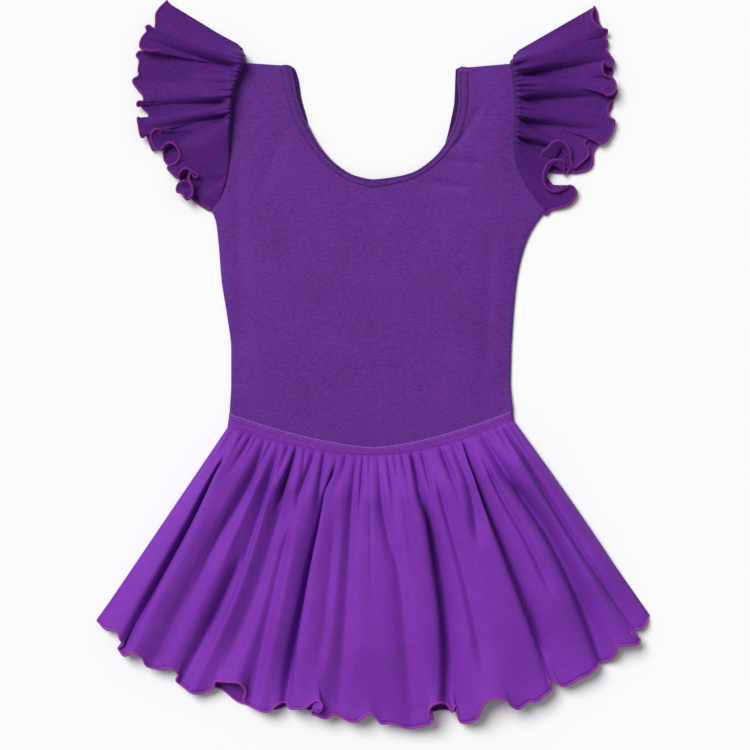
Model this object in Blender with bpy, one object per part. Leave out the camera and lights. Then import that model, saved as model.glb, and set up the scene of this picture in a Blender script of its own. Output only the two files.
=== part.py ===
# Skirted leotard with flutter sleeves, laid flat on its back with the front up.
# x runs across the garment, y from hem to shoulder, z up from the surface it lies on.
# Tables and sizes are in millimetres and are turned into metres when a wall is made.
import bmesh
import bpy
import math
import numpy as np

MM = 0.001
WALL = 1.0
GAP = 0.3
LAYER = WALL + GAP

# Armhole seam on the front and the back panel, from the shoulder to the underarm.
ARMHOLE_COLUMNS = ("leftX", "leftY", "rightX", "rightY")
ARMHOLE = (
    (-94.5, 216.5, 100.0, 216.0),
    (-98.5, 205.0, 102.0, 204.0),
    (-103.0, 191.5, 103.0, 191.0),
    (-104.0, 178.0, 103.0, 176.5),
    (-105.0, 163.5, 102.5, 162.0),
    (-105.5, 149.0, 103.0, 149.0),
    (-107.5, 134.0, 108.0, 134.0),
    (-111.5, 121.0, 116.0, 121.0),
    (-118.0, 110.0, 125.0, 110.0),
)

# Where each panel meets its neck band, and the band's free edge, at the armhole's levels.
# The last row is the lowest point of the scoop.
NECK_COLUMNS = ("seamLeftX", "seamLeftY", "edgeLeftX", "edgeLeftY",
                "edgeRightX", "edgeRightY", "seamRightX", "seamRightY")
FRONT_NECK = (
    (-68.5, 214.5, -59.5, 215.5, 61.0, 214.0, 69.0, 213.0),
    (-67.0, 204.5, -57.0, 204.5, 60.0, 203.0, 69.0, 204.0),
    (-63.5, 191.5, -55.0, 192.0, 61.0, 191.5, 69.0, 191.0),
    (-59.5, 178.0, -51.0, 180.0, 59.5, 178.5, 67.0, 176.5),
    (-52.5, 165.0, -45.0, 167.0, 56.0, 168.0, 63.0, 165.0),
    (-43.0, 151.0, -37.5, 154.5, 49.5, 155.5, 54.5, 152.5),
    (-30.0, 138.0, -26.0, 142.5, 39.0, 144.5, 43.0, 141.0),
    (-16.0, 129.5, -13.0, 135.0, 25.0, 136.5, 27.5, 132.0),
    (0.0, 125.5, 0.0, 132.5, 0.0, 132.5, 0.0, 125.5),
)
BACK_NECK = (
    (-67.5, 214.5, -58.5, 215.5, 59.0, 214.0, 69.0, 213.0),
    (-63.5, 202.5, -54.5, 204.0, 58.5, 202.5, 68.0, 201.5),
    (-61.0, 189.5, -52.5, 191.0, 58.0, 189.5, 66.5, 188.5),
    (-57.0, 174.0, -48.5, 176.5, 55.5, 175.5, 64.0, 174.0),
    (-53.5, 160.0, -45.5, 162.5, 52.5, 162.5, 61.0, 160.0),
    (-48.0, 142.5, -40.5, 146.0, 47.0, 146.0, 54.5, 142.5),
    (-40.5, 124.0, -34.0, 128.0, 39.0, 128.0, 46.0, 124.0),
    (-24.5, 107.5, -21.0, 113.0, 22.5, 113.0, 26.5, 107.5),
    (0.0, 101.0, 0.0, 107.5, 0.0, 107.5, 0.0, 101.0),
)

# Sections of both panels below the neck: side seams, brief and crotch.
# sag is the power of the dip from the sides to the middle, rise is how far the skirt's
# layers lift the back panel off the surface, and loft is how far the front stands off the back.
BODY_COLUMNS = ("leftX", "leftY", "middleY", "rightX", "rightY", "sag", "rise", "loft")
BODY = (
    (-114.0, 101.5, 106.5, 117.5, 101.5, 1.0, 0.0, 2.2),
    (-112.0, 85.0, 83.5, 109.0, 85.0, 1.0, 0.0, 2.6),
    (-110.0, 60.0, 56.0, 103.0, 60.0, 1.2, 0.0, 3.0),
    (-106.0, 34.5, 29.5, 100.5, 34.5, 1.3, 0.0, 3.0),
    (-103.0, 9.5, 2.0, 99.0, 9.5, 1.4, 0.0, 2.8),
    (-103.0, -14.5, -28.0, 98.5, -14.5, 1.5, 0.0, 2.0),
    (-104.0, -36.0, -60.5, 100.0, -34.0, 1.5, LAYER, 0.0),
    (-101.0, -47.0, -66.5, 97.0, -42.0, 1.8, LAYER, 0.0),
    (-96.5, -61.0, -83.0, 93.5, -59.0, 1.8, LAYER, 0.0),
    (-94.5, -80.5, -100.0, 90.5, -80.5, 1.8, LAYER, 0.0),
    (-80.5, -106.0, -120.0, 80.5, -106.0, 1.5, LAYER, 0.0),
    (-53.5, -134.5, -143.5, 53.5, -134.5, 1.3, LAYER, 0.0),
    (-30.0, -157.5, -163.5, 30.0, -157.5, 1.0, LAYER, 0.0),
    (-18.5, -179.5, -179.5, 18.5, -179.5, 1.0, LAYER, 0.0),
)
NECK_LOFT = (0.0, 0.3, 0.5, 0.7, 0.9, 1.2, 1.5, 1.8, 2.0)
SCOOP_LEVEL = len(ARMHOLE) - 1
BAND_TOP_LEVEL = SCOOP_LEVEL + 7
BAND_FOOT_LEVEL = BAND_TOP_LEVEL + 1
CROTCH_LEVEL = SCOOP_LEVEL + len(BODY)
UNDERARM_END_LEVEL = SCOOP_LEVEL + 2
HALF_COLUMNS = (0.0, 0.04, 0.12, 0.28, 0.5, 0.75, 1.0)
EDGE_ROUNDING = 4

# Neck band: the front one's middle stands this much over its two edges.
NECK_BAND_CROWN = 0.5
NECK_SEAM_GAP = 0.4

# Turned corner of the skirt band's ends, as a share of its wall.
BAND_CORNER = 0.7

# Skirt: the upper corners beyond the band's ends, and the round base line of the hem.
SKIRT_LEFT_X = -105.0
SKIRT_RIGHT_X = 101.0
SKIRT_SEAM_GAP = 0.5
HEM_CENTRE_X = 0.5
HEM_CENTRE_Y = 69.5
HEM_RADIUS = 322.0
HEM_CORNER_LEFT_X = -198.5
HEM_CORNER_RIGHT_X = 200.0
RIGHT_SIDE_BOW = 2.0
SKIRT_COLUMN_COUNT = 144
SKIRT_ROWS = (0.0, 0.025, 0.06, 0.13, 0.26, 0.44, 0.64, 0.8, 0.9, 0.96, 1.0)
SIDE_WRAP = 0.015
SIDE_PUFF = 0.035
PUFF = 8.0
PUFF_STARTS = 0.22
PUFF_FALLS = 0.7
HEM_PUFF_SHARE = 0.35
GATHER_COUNT = 36
GATHER_HEIGHT = 1.5
GATHER_REACH = 0.07
GATHER_DRIFTS = ((0.5, 3.3, 0.0), (0.3, 7.1, 1.0))
STEEPEST_SHARE = 0.5
PLEAT_HEIGHT = 1.0
BACK_PLEAT_COUNT = 12
BRIEF_END = 0.62
BRIEF_CLEAR = 0.86
HEM_ZONE = 0.8

# Folds of the skirt front: each is a trough whose line is given by its place across the
# width at the band, halfway and at the hem. left and right are the widths of its two slopes.
FOLD_COLUMNS = ("atBand", "atMiddle", "atHem", "starts", "ends", "depth", "left", "right")
FOLDS = (
    (0.020, 0.048, 0.053, 0.10, 1.10, 7.0, 0.030, 0.010),
    (0.127, 0.108, 0.110, 0.10, 1.00, 2.0, 0.030, 0.040),
    (0.205, 0.186, 0.166, 0.15, 1.10, 4.5, 0.035, 0.010),
    (0.234, 0.214, 0.203, 0.04, 1.00, 5.0, 0.010, 0.050),
    (0.280, 0.288, 0.315, 0.45, 1.10, 3.0, 0.012, 0.030),
    (0.362, 0.344, 0.352, 0.12, 1.10, 8.0, 0.045, 0.010),
    (0.435, 0.415, 0.400, 0.10, 1.00, 2.0, 0.030, 0.030),
    (0.505, 0.520, 0.530, 0.05, 1.00, 2.0, 0.030, 0.030),
    (0.633, 0.634, 0.640, 0.02, 1.10, 7.0, 0.018, 0.028),
    (0.730, 0.735, 0.740, 0.00, 0.45, 2.5, 0.020, 0.030),
    (0.800, 0.798, 0.808, 0.02, 1.10, 6.5, 0.009, 0.030),
    (0.850, 0.898, 0.888, 0.10, 1.10, 6.0, 0.035, 0.040),
    (0.943, 0.948, 0.958, 0.05, 1.10, 4.5, 0.009, 0.035),
)
FOLD_EASE = 0.12

# Ruffle waves of the front hem: places across the width, reach past the base line and
# height over the cloth behind, first of the dip and then of the crest that follows it.
WAVE_COLUMNS = ("dipAt", "dipReach", "dipLift", "crestAt", "crestReach", "crestLift")
FRONT_WAVES = (
    (0.000, 3.0, 0.0, 0.010, 4.3, 0.0),
    (0.038, -1.3, 1.0, 0.062, 10.4, 1.0),
    (0.088, 3.2, 3.0, 0.118, 7.8, 0.5),
    (0.151, 2.7, 3.0, 0.185, 10.2, 0.5),
    (0.236, -6.5, 6.5, 0.302, 7.2, 0.5),
    (0.360, 0.0, 4.0, 0.382, 2.6, 2.0),
    (0.397, 0.5, 3.0, 0.413, 4.5, 1.0),
    (0.436, -4.0, 5.0, 0.467, 5.0, 0.5),
    (0.492, -1.1, 3.5, 0.513, 5.4, 0.5),
    (0.530, 4.5, 1.5, 0.565, 9.4, 0.0),
    (0.609, -6.0, 6.5, 0.650, 12.0, 0.0),
    (0.697, -2.5, 6.5, 0.736, 11.2, 0.5),
    (0.754, 8.0, 1.5, 0.773, 10.3, 0.5),
    (0.806, 1.1, 2.5, 0.828, 9.3, 0.5),
    (0.888, 5.2, 2.5, 0.906, 7.0, 0.5),
    (0.930, 1.4, 2.5, 0.953, 7.2, 1.0),
    (0.968, -1.3, 1.0, 0.985, 1.3, 0.0),
)
# The back hem lies flat under the front one, so it only waves in outline.
BACK_WAVE_COUNT = 13
BACK_WAVE_REACH = 2.0
BACK_HEM_REACH = 0.0
BACK_COLUMN_COUNT = 65
BACK_ROWS = (0.0, 0.2, 0.4, BRIEF_END, 0.8, 0.92, 1.0)

# Flutter sleeves, from the fold at the shoulder down the front layer to the underarm:
# the level on the armhole, the hem's outline there and the hem's lift.
SLEEVE_COLUMNS = ("armY", "hemX", "hemY", "lift")
LEFT_SLEEVE = (
    (225.5, -147.5, 260.0, 0.0),
    (221.0, -156.0, 251.5, 1.5),
    (216.5, -159.0, 239.0, 3.0),
    (212.5, -168.0, 230.5, 2.0),
    (208.0, -165.5, 225.5, 4.5),
    (204.0, -171.5, 220.5, 1.0),
    (199.5, -168.0, 209.5, 3.0),
    (194.5, -173.5, 204.0, 1.0),
    (189.5, -166.5, 191.5, 4.0),
    (184.5, -170.0, 186.5, 1.0),
    (179.5, -162.5, 180.5, 3.0),
    (173.5, -169.0, 173.5, 1.0),
    (166.5, -164.0, 165.0, 2.5),
    (157.5, -159.0, 154.0, 1.0),
    (149.0, -150.0, 153.0, 5.0),
    (139.0, -146.5, 142.0, 1.5),
    (129.0, -138.0, 138.0, 5.0),
    (121.0, -134.0, 119.0, 1.0),
    (110.0, -125.0, 113.5, 0.0),
)
RIGHT_SLEEVE = (
    (225.0, 158.5, 256.5, 0.0),
    (220.0, 154.0, 247.0, 3.0),
    (214.5, 165.5, 237.0, 1.0),
    (209.5, 169.0, 225.5, 3.0),
    (205.0, 168.0, 216.5, 3.5),
    (200.0, 174.0, 204.0, 1.0),
    (195.0, 173.0, 191.5, 3.0),
    (189.0, 168.0, 180.5, 4.0),
    (183.0, 173.5, 173.0, 1.0),
    (177.0, 169.0, 162.0, 2.0),
    (170.0, 161.5, 161.5, 4.5),
    (162.0, 153.5, 157.0, 2.0),
    (152.5, 152.5, 148.0, 1.0),
    (143.0, 142.5, 142.0, 4.5),
    (133.0, 137.0, 131.0, 2.0),
    (124.0, 142.0, 121.5, 1.0),
    (117.0, 134.5, 114.0, 1.0),
    (110.0, 129.0, 110.5, 0.0),
)
# Long creases of a sleeve: levels at the armhole and at the hem as shares of the way down.
CREASE_COLUMNS = ("atArm", "atHem", "depth", "width")
LEFT_CREASES = (
    (0.20, 0.24, 1.2, 0.030),
    (0.44, 0.55, 2.6, 0.022),
    (0.53, 0.68, 3.0, 0.024),
)
RIGHT_CREASES = (
    (0.20, 0.26, 2.0, 0.026),
    (0.36, 0.42, 2.4, 0.024),
    (0.50, 0.60, 3.0, 0.026),
)
SLEEVE_PUFF = 3.2
SLEEVE_PUFF_EASE = 0.12
SLEEVE_PUFF_SHAPE = (0.8, 0.7)
CREASE_STARTS = 0.15
RUFFLE_ZONE = 0.55
RUFFLE_EASE = 0.05
SLEEVE_ROWS_PER_SECTION = 3
SLEEVE_COLUMNS_ACROSS = (0.0, 0.08, 0.2, 0.42, 0.7, 0.88, 1.0)
SLEEVE_GATHER_COUNT = 10
SLEEVE_GATHER_END = 0.56
SLEEVE_GATHER_EASE = (0.06, 0.08)
SLEEVE_GATHER_HEIGHT = 1.2
SLEEVE_GATHER_REACH = 0.13
SLEEVE_SEAM_GAP = 0.5
SLEEVE_BACK_SEAM_GAP = 0.95
SLEEVE_BACK_ROWS = 18
SLEEVE_BACK_INSET = 3.0
CALM_REACH = 2
FOLD_STEPS = 3

BODICE_COLOUR = (98, 50, 136)
SKIRT_COLOUR = (120, 58, 167)
BAND_COLOUR = (114, 55, 160)
CLOTH_ROUGHNESS = 0.85


def clearScene():
    for item in list(bpy.data.objects):
        bpy.data.objects.remove(item, do_unlink=True)


def linear(channel):
    # One sRGB channel from 0 to 255 as a linear share of full light.
    share = channel / 255
    return share / 12.92 if share <= 0.04045 else ((share + 0.055) / 1.055) ** 2.4


def clothMaterial(name, colour):
    material = bpy.data.materials.new(name)
    material.use_nodes = True
    shader = material.node_tree.nodes["Principled BSDF"]
    shader.inputs["Base Color"].default_value = (*[linear(channel) for channel in colour], 1)
    shader.inputs["Roughness"].default_value = CLOTH_ROUGHNESS
    shader.inputs["Metallic"].default_value = 0.0
    material.diffuse_color = shader.inputs["Base Color"].default_value
    return material


def column(table, names, name):
    return np.array([row[names.index(name)] for row in table], float)


def easeStep(share):
    # 0 below 0, 1 above 1, and a smooth rise between.
    share = np.clip(share, 0, 1)
    return share * share * (3 - 2 * share)


def endSlope(nearest, second):
    # Slope at the end of a curve from its last two rises, never against the last one.
    slope = 1.5 * nearest - 0.5 * second
    if slope * nearest <= 0:
        return 0.0
    return slope if abs(slope) < 3 * abs(nearest) else 3 * nearest


def throughKnots(knots, values, at):
    # A smooth curve through the values that doesn't swing past any of them.
    knots = np.asarray(knots, float)
    values = np.asarray(values, float)
    at = np.clip(np.asarray(at, float), knots[0], knots[-1])
    spans = np.diff(knots)
    rises = np.diff(values) / spans
    slopes = np.zeros(len(knots))
    slopes[0] = endSlope(rises[0], rises[min(1, len(rises) - 1)])
    slopes[-1] = endSlope(rises[-1], rises[max(-2, -len(rises))])
    for k in range(1, len(knots) - 1):
        if rises[k - 1] * rises[k] > 0:
            slopes[k] = 2 * rises[k - 1] * rises[k] / (rises[k - 1] + rises[k])
    cell = np.clip(np.searchsorted(knots, at, side="right") - 1, 0, len(knots) - 2)
    share = (at - knots[cell]) / spans[cell]
    start, end = values[cell], values[cell + 1]
    leaving, arriving = slopes[cell] * spans[cell], slopes[cell + 1] * spans[cell]
    return ((2 * share ** 3 - 3 * share ** 2 + 1) * start + (share ** 3 - 2 * share ** 2 + share) * leaving
            + (3 * share ** 2 - 2 * share ** 3) * end + (share ** 3 - share ** 2) * arriving)


def makeWall(name, outer, inner, faces, material):
    # A closed wall between two sheets of points that share their faces: outer side,
    # inner side, and a rim along each edge that only one face uses.
    mesh = bmesh.new()
    outerVerts = [mesh.verts.new(np.asarray(point) * MM) for point in outer]
    innerVerts = [mesh.verts.new(np.asarray(point) * MM) for point in inner]
    edgeUse = {}
    for face in faces:
        mesh.faces.new([outerVerts[k] for k in face])
        mesh.faces.new([innerVerts[k] for k in reversed(face)])
        for start, end in zip(face, face[1:] + face[:1]):
            key = (min(start, end), max(start, end))
            edgeUse.setdefault(key, []).append((start, end))
    for uses in edgeUse.values():
        if len(uses) == 1:
            start, end = uses[0]
            mesh.faces.new([outerVerts[end], outerVerts[start], innerVerts[start], innerVerts[end]])
    bmesh.ops.recalc_face_normals(mesh, faces=mesh.faces)
    data = bpy.data.meshes.new(name)
    mesh.to_mesh(data)
    mesh.free()
    data.shade_smooth()
    data.materials.append(material)
    item = bpy.data.objects.new(name, data)
    bpy.context.scene.collection.objects.link(item)
    return item


def gridFaces(rowCount, columnCount):
    faces = []
    for row in range(rowCount - 1):
        for place in range(columnCount - 1):
            corner = row * columnCount + place
            faces.append([corner, corner + columnCount, corner + columnCount + 1, corner + 1])
    return faces


def bodiceSections(neck):
    # All section values of a panel, one dictionary entry for each column, strap to crotch.
    values = {
        "leftX": np.r_[column(ARMHOLE, ARMHOLE_COLUMNS, "leftX"), column(BODY, BODY_COLUMNS, "leftX")],
        "leftY": np.r_[column(ARMHOLE, ARMHOLE_COLUMNS, "leftY"), column(BODY, BODY_COLUMNS, "leftY")],
        "rightX": np.r_[column(ARMHOLE, ARMHOLE_COLUMNS, "rightX"), column(BODY, BODY_COLUMNS, "rightX")],
        "rightY": np.r_[column(ARMHOLE, ARMHOLE_COLUMNS, "rightY"), column(BODY, BODY_COLUMNS, "rightY")],
    }
    middleX = np.zeros(len(BODY))
    middleY = column(BODY, BODY_COLUMNS, "middleY")
    for side in ("Left", "Right"):
        values["seam" + side + "X"] = np.r_[column(neck, NECK_COLUMNS, "seam" + side + "X"), middleX]
        values["seam" + side + "Y"] = np.r_[column(neck, NECK_COLUMNS, "seam" + side + "Y"), middleY]
    straight = np.ones(len(ARMHOLE))
    values["sag"] = np.r_[straight, column(BODY, BODY_COLUMNS, "sag")]
    values["rise"] = np.r_[np.zeros(len(ARMHOLE)), column(BODY, BODY_COLUMNS, "rise")]
    values["loft"] = np.r_[NECK_LOFT, column(BODY, BODY_COLUMNS, "loft")]
    return values


def bodiceLevels():
    # Two rows for each section down to the underarm's end, and one below it.
    fine = np.arange(0, UNDERARM_END_LEVEL, 0.5)
    coarse = np.arange(UNDERARM_END_LEVEL, CROTCH_LEVEL + 1, 1.0)
    return np.r_[fine, coarse]


def sectionAt(values, level):
    # The neck's sections and the body's are two runs, with a corner where they meet.
    run = slice(0, SCOOP_LEVEL + 1) if level <= SCOOP_LEVEL else slice(SCOOP_LEVEL, None)
    knots = np.arange(len(values["sag"]))[run]
    found = {}
    for name, series in values.items():
        if name in ("rise", "sag", "loft"):
            found[name] = float(np.interp(level, knots, series[run]))
        else:
            found[name] = float(throughKnots(knots, series[run], level))
    return found


def halfRow(section, side):
    # Points from the outer edge to the neck seam or the middle, at the height over the back.
    outerX, outerY = section[side.lower() + "X"], section[side.lower() + "Y"]
    innerX, innerY = section["seam" + side + "X"], section["seam" + side + "Y"]
    points = []
    for share in HALF_COLUMNS:
        x = outerX + (innerX - outerX) * share
        y = innerY + (outerY - innerY) * (1 - share) ** section["sag"]
        swell = 1 - (1 - share) ** EDGE_ROUNDING
        points.append((x, y, section["loft"] * swell))
    return points


def bodiceRow(section, isFront):
    # One row from left to right; the two middle points coincide below the scoop.
    points = halfRow(section, "Left") + halfRow(section, "Right")[::-1]
    if isFront:
        return [(x, y, section["rise"] + LAYER + loft) for x, y, loft in points]
    return [(x, y, section["rise"]) for x, y, loft in points]


def makeBodice(name, neck, isFront, material):
    values = bodiceSections(neck)
    inner = []
    faces = []
    above = None
    for level in bodiceLevels():
        points = bodiceRow(sectionAt(values, level), isFront)
        half = len(HALF_COLUMNS)
        numbers = list(range(len(inner), len(inner) + len(points)))
        if level >= SCOOP_LEVEL:
            # The panel is whole from here down, so its two middle points are one.
            points = points[:half] + points[half + 1:]
            numbers = numbers[:half] + numbers[half - 1:-1]
        inner.extend(points)
        if above:
            for place in list(range(half - 1)) + list(range(half, 2 * half - 1)):
                faces.append([above[place], numbers[place], numbers[place + 1], above[place + 1]])
        above = numbers
    outer = [(x, y, z + WALL) for x, y, z in inner]
    return makeWall(name, outer, inner, faces, material)


def makeNeckBand(name, neck, isFront, material):
    # Doubled edge from the panel's neck seam to the opening, along both sides of the scoop.
    values = {name: column(neck, NECK_COLUMNS, name) for name in NECK_COLUMNS}
    levels = np.arange(0, SCOOP_LEVEL + 0.25, 0.5)
    stations = [("Left", level) for level in levels] + [("Right", level) for level in levels[-2::-1]]
    knots = np.arange(SCOOP_LEVEL + 1)
    inner, outer = [], []
    for side, level in stations:
        seam = np.array([throughKnots(knots, values["seam" + side + axis], level) for axis in "XY"])
        edge = np.array([throughKnots(knots, values["edge" + side + axis], level) for axis in "XY"])
        width = np.linalg.norm(edge - seam)
        start = seam + (edge - seam) * NECK_SEAM_GAP / width
        loft = float(np.interp(level, knots, NECK_LOFT)) if isFront else 0.0
        base = loft + (LAYER if isFront else 0.0)
        middleCrown = NECK_BAND_CROWN if isFront else 0.0
        for share, crown in ((0.0, 0.0), (0.5, middleCrown), (1.0, 0.0)):
            x, y = start + (edge - start) * share
            inner.append((x, y, base))
            outer.append((x, y, base + WALL + crown))
    return makeWall(name, outer, inner, gridFaces(len(stations), 3), material)


def makeSkirtBandFront(name, material):
    # Flat band on the front panel, moved out from its points, with both ends turned down.
    values = bodiceSections(FRONT_NECK)
    inner, outer = [], []
    levels = (BAND_TOP_LEVEL, BAND_TOP_LEVEL + 0.5, BAND_FOOT_LEVEL)
    half = len(HALF_COLUMNS)
    for level in levels:
        points = bodiceRow(sectionAt(values, level), True)
        points = points[:half] + points[half + 1:]
        rowInner = [(x, y, z + WALL + GAP) for x, y, z in points]
        rowOuter = [(x, y, z + WALL) for x, y, z in rowInner]
        for side, (x, y, z) in ((-1, rowInner[0]), (1, rowInner[-1])):
            corner = ((x + side * GAP, y, z), (x + side * (GAP + BAND_CORNER * WALL), y, z + BAND_CORNER * WALL))
            foot = ((x + side * GAP, y, LAYER), (x + side * LAYER, y, LAYER))
            if side < 0:
                rowInner = [foot[0], corner[0]] + rowInner
                rowOuter = [foot[1], corner[1]] + rowOuter
            else:
                rowInner = rowInner + [corner[0], foot[0]]
                rowOuter = rowOuter + [corner[1], foot[1]]
        inner.extend(rowInner)
        outer.extend(rowOuter)
    return makeWall(name, outer, inner, gridFaces(len(levels), len(rowInner)), material)


def makeSkirtBandBack(name, material):
    # The band under the back panel, flat on the surface, as long as the front one.
    values = bodiceSections(BACK_NECK)
    inner = []
    levels = (BAND_TOP_LEVEL, BAND_TOP_LEVEL + 0.5, BAND_FOOT_LEVEL)
    half = len(HALF_COLUMNS)
    for level in levels:
        points = bodiceRow(sectionAt(values, level), False)
        points = points[:half] + points[half + 1:]
        row = [(x, y, 0.0) for x, y, z in points]
        leftEnd = (row[0][0] - LAYER, row[0][1], 0.0)
        rightEnd = (row[-1][0] + LAYER, row[-1][1], 0.0)
        row = [leftEnd] + row + [rightEnd]
        inner.extend(row)
    outer = [(x, y, z + WALL) for x, y, z in inner]
    return makeWall(name, outer, inner, gridFaces(len(levels), len(row)), material)


def skirtTop(across):
    # The skirt's gathered edge just under the band, across from 0 to 1.
    foot = BODY[BAND_FOOT_LEVEL - SCOOP_LEVEL - 1]
    section = dict(zip(BODY_COLUMNS, foot))
    x = SKIRT_LEFT_X + (SKIRT_RIGHT_X - SKIRT_LEFT_X) * across
    sideX = np.where(x < 0, section["leftX"], section["rightX"])
    sideY = np.where(x < 0, section["leftY"], section["rightY"])
    drop = np.minimum(np.abs(x / sideX), 1) ** section["sag"]
    y = section["middleY"] + (sideY - section["middleY"]) * drop - SKIRT_SEAM_GAP
    return x, y


def hemBase(across):
    # The round base line of the hem, by equal angles.
    startAngle = -math.pi / 2 - math.asin((HEM_CENTRE_X - HEM_CORNER_LEFT_X) / HEM_RADIUS)
    endAngle = -math.pi / 2 + math.asin((HEM_CORNER_RIGHT_X - HEM_CENTRE_X) / HEM_RADIUS)
    angle = startAngle + (endAngle - startAngle) * across
    return HEM_CENTRE_X + HEM_RADIUS * np.cos(angle), HEM_CENTRE_Y + HEM_RADIUS * np.sin(angle)


def skirtPlan(across, down, reach):
    # Outline places of the skirt: straight lines from the band to the hem, whose last part
    # is drawn out or in by the hem's reach.
    topX, topY = skirtTop(across)
    hemX, hemY = hemBase(across)
    lengthX, lengthY = hemX - topX, hemY - topY
    length = np.hypot(lengthX, lengthY)
    draw = reach * easeStep((down - HEM_ZONE) / (1 - HEM_ZONE))
    x = topX + lengthX * (down + draw / length)
    y = topY + lengthY * (down + draw / length)
    x = x + RIGHT_SIDE_BOW * np.sin(math.pi * down) * across ** 8
    return x, y


def waveValues(across):
    # Reach and lift of the front hem at each place, through the dips and crests.
    places, reaches, lifts = [], [], []
    for row in FRONT_WAVES:
        wave = dict(zip(WAVE_COLUMNS, row))
        for kind in ("dip", "crest"):
            places.append(wave[kind + "At"])
            reaches.append(wave[kind + "Reach"])
            lifts.append(wave[kind + "Lift"])
    places.append(1.0)
    reaches.append(-1.0)
    lifts.append(0.0)
    return throughKnots(places, reaches, across), throughKnots(places, lifts, across)


def foldDepth(across, down):
    depth = np.zeros(np.broadcast(across, down).shape)
    for row in FOLDS:
        fold = dict(zip(FOLD_COLUMNS, row))
        line = throughKnots((0.0, 0.5, 1.0), (fold["atBand"], fold["atMiddle"], fold["atHem"]), down)
        aside = across - line
        width = np.where(aside < 0, fold["left"], fold["right"])
        shown = easeStep((down - fold["starts"]) / FOLD_EASE) * easeStep((fold["ends"] - down) / FOLD_EASE)
        depth += fold["depth"] * np.exp(-(aside / width) ** 2) * shown
    return depth


def gatherWave(across, count):
    # Uneven gathers: their spacing drifts a little along the seam.
    phase = 2 * math.pi * count * across
    for strength, turns, start in GATHER_DRIFTS:
        phase = phase + strength * np.sin(2 * math.pi * turns * across + start)
    return (1 + np.cos(phase)) / 2


def makeSkirtFront(name, material):
    across = np.linspace(0, 1, SKIRT_COLUMN_COUNT + 1)[None, :]
    down = np.array(SKIRT_ROWS)[:, None]
    fromSide = np.minimum(across, 1 - across)
    reach, lift = waveValues(across[0])
    x, y = skirtPlan(across, down, reach[None, :])
    wrap = easeStep(fromSide / SIDE_WRAP)
    overBrief = 2 * LAYER
    overPleats = PLEAT_HEIGHT
    pastBrief = easeStep((down - BRIEF_END) / (BRIEF_CLEAR - BRIEF_END))
    support = LAYER + wrap * (overBrief + (overPleats - overBrief) * pastBrief)
    swell = easeStep(down / PUFF_STARTS)
    swell = swell * (1 - (1 - HEM_PUFF_SHARE) * easeStep((down - PUFF_FALLS) / (1 - PUFF_FALLS)))
    puff = PUFF * swell * easeStep(fromSide / SIDE_PUFF)
    height = np.maximum(puff - foldDepth(across, down) * swell, 0)
    gathers = GATHER_HEIGHT * gatherWave(across, GATHER_COUNT) * np.exp(-down / GATHER_REACH) * wrap
    ruffle = lift[None, :] * easeStep((down - HEM_ZONE) / (1 - HEM_ZONE)) * wrap
    z = support + height + gathers + ruffle
    sheet = np.stack(np.broadcast_arrays(x, y, z), -1)
    thick = sheet.copy()
    thick[..., 2] += WALL / np.maximum(uprightShare(sheet), STEEPEST_SHARE)
    faces = gridFaces(*z.shape)
    return makeWall(name, thick.reshape(-1, 3), sheet.reshape(-1, 3), faces, material)


def uprightShare(sheet):
    # How far each point's normal points straight up, from 0 to 1.
    alongRows = np.gradient(sheet, axis=0)
    alongColumns = np.gradient(sheet, axis=1)
    normal = np.cross(alongColumns, alongRows)
    return np.abs(normal[..., 2]) / np.linalg.norm(normal, axis=-1)


def makeSkirtBack(name, material):
    # Flat underneath; towards the hem its pleats thicken it from above.
    across = np.linspace(0, 1, BACK_COLUMN_COUNT + 1)[None, :]
    down = np.array(BACK_ROWS)[:, None]
    fromSide = np.minimum(across, 1 - across)
    reach = BACK_HEM_REACH + BACK_WAVE_REACH * np.sin(2 * math.pi * BACK_WAVE_COUNT * across[0])
    x, y = skirtPlan(across, down, reach[None, :])
    pleat = PLEAT_HEIGHT * gatherWave(across, BACK_PLEAT_COUNT) * easeStep((down - BRIEF_END) / (1 - BRIEF_END))
    z = WALL + pleat * easeStep((fromSide - SIDE_WRAP) / SIDE_PUFF)
    flat = np.stack(np.broadcast_arrays(x, y, np.zeros_like(z)), -1)
    thick = np.stack(np.broadcast_arrays(x, y, z), -1)
    return makeWall(name, thick.reshape(-1, 3), flat.reshape(-1, 3), gridFaces(*z.shape), material)


def armholeX(side, heights):
    # The armhole seam's x at given heights, along the panel's own edge.
    knots = np.arange(len(ARMHOLE))
    levels = np.arange(SCOOP_LEVEL, -0.25, -0.5)
    edgeX = throughKnots(knots, column(ARMHOLE, ARMHOLE_COLUMNS, side + "X"), levels)
    edgeY = throughKnots(knots, column(ARMHOLE, ARMHOLE_COLUMNS, side + "Y"), levels)
    return np.interp(heights, edgeY, edgeX)


def creaseDepth(creases, along, out):
    depth = np.zeros(np.broadcast(along, out).shape)
    for row in creases:
        crease = dict(zip(CREASE_COLUMNS, row))
        line = crease["atArm"] + (crease["atHem"] - crease["atArm"]) * out
        depth += crease["depth"] * np.exp(-((along - line) / crease["width"]) ** 2) * easeStep(out / CREASE_STARTS)
    return depth


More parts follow.
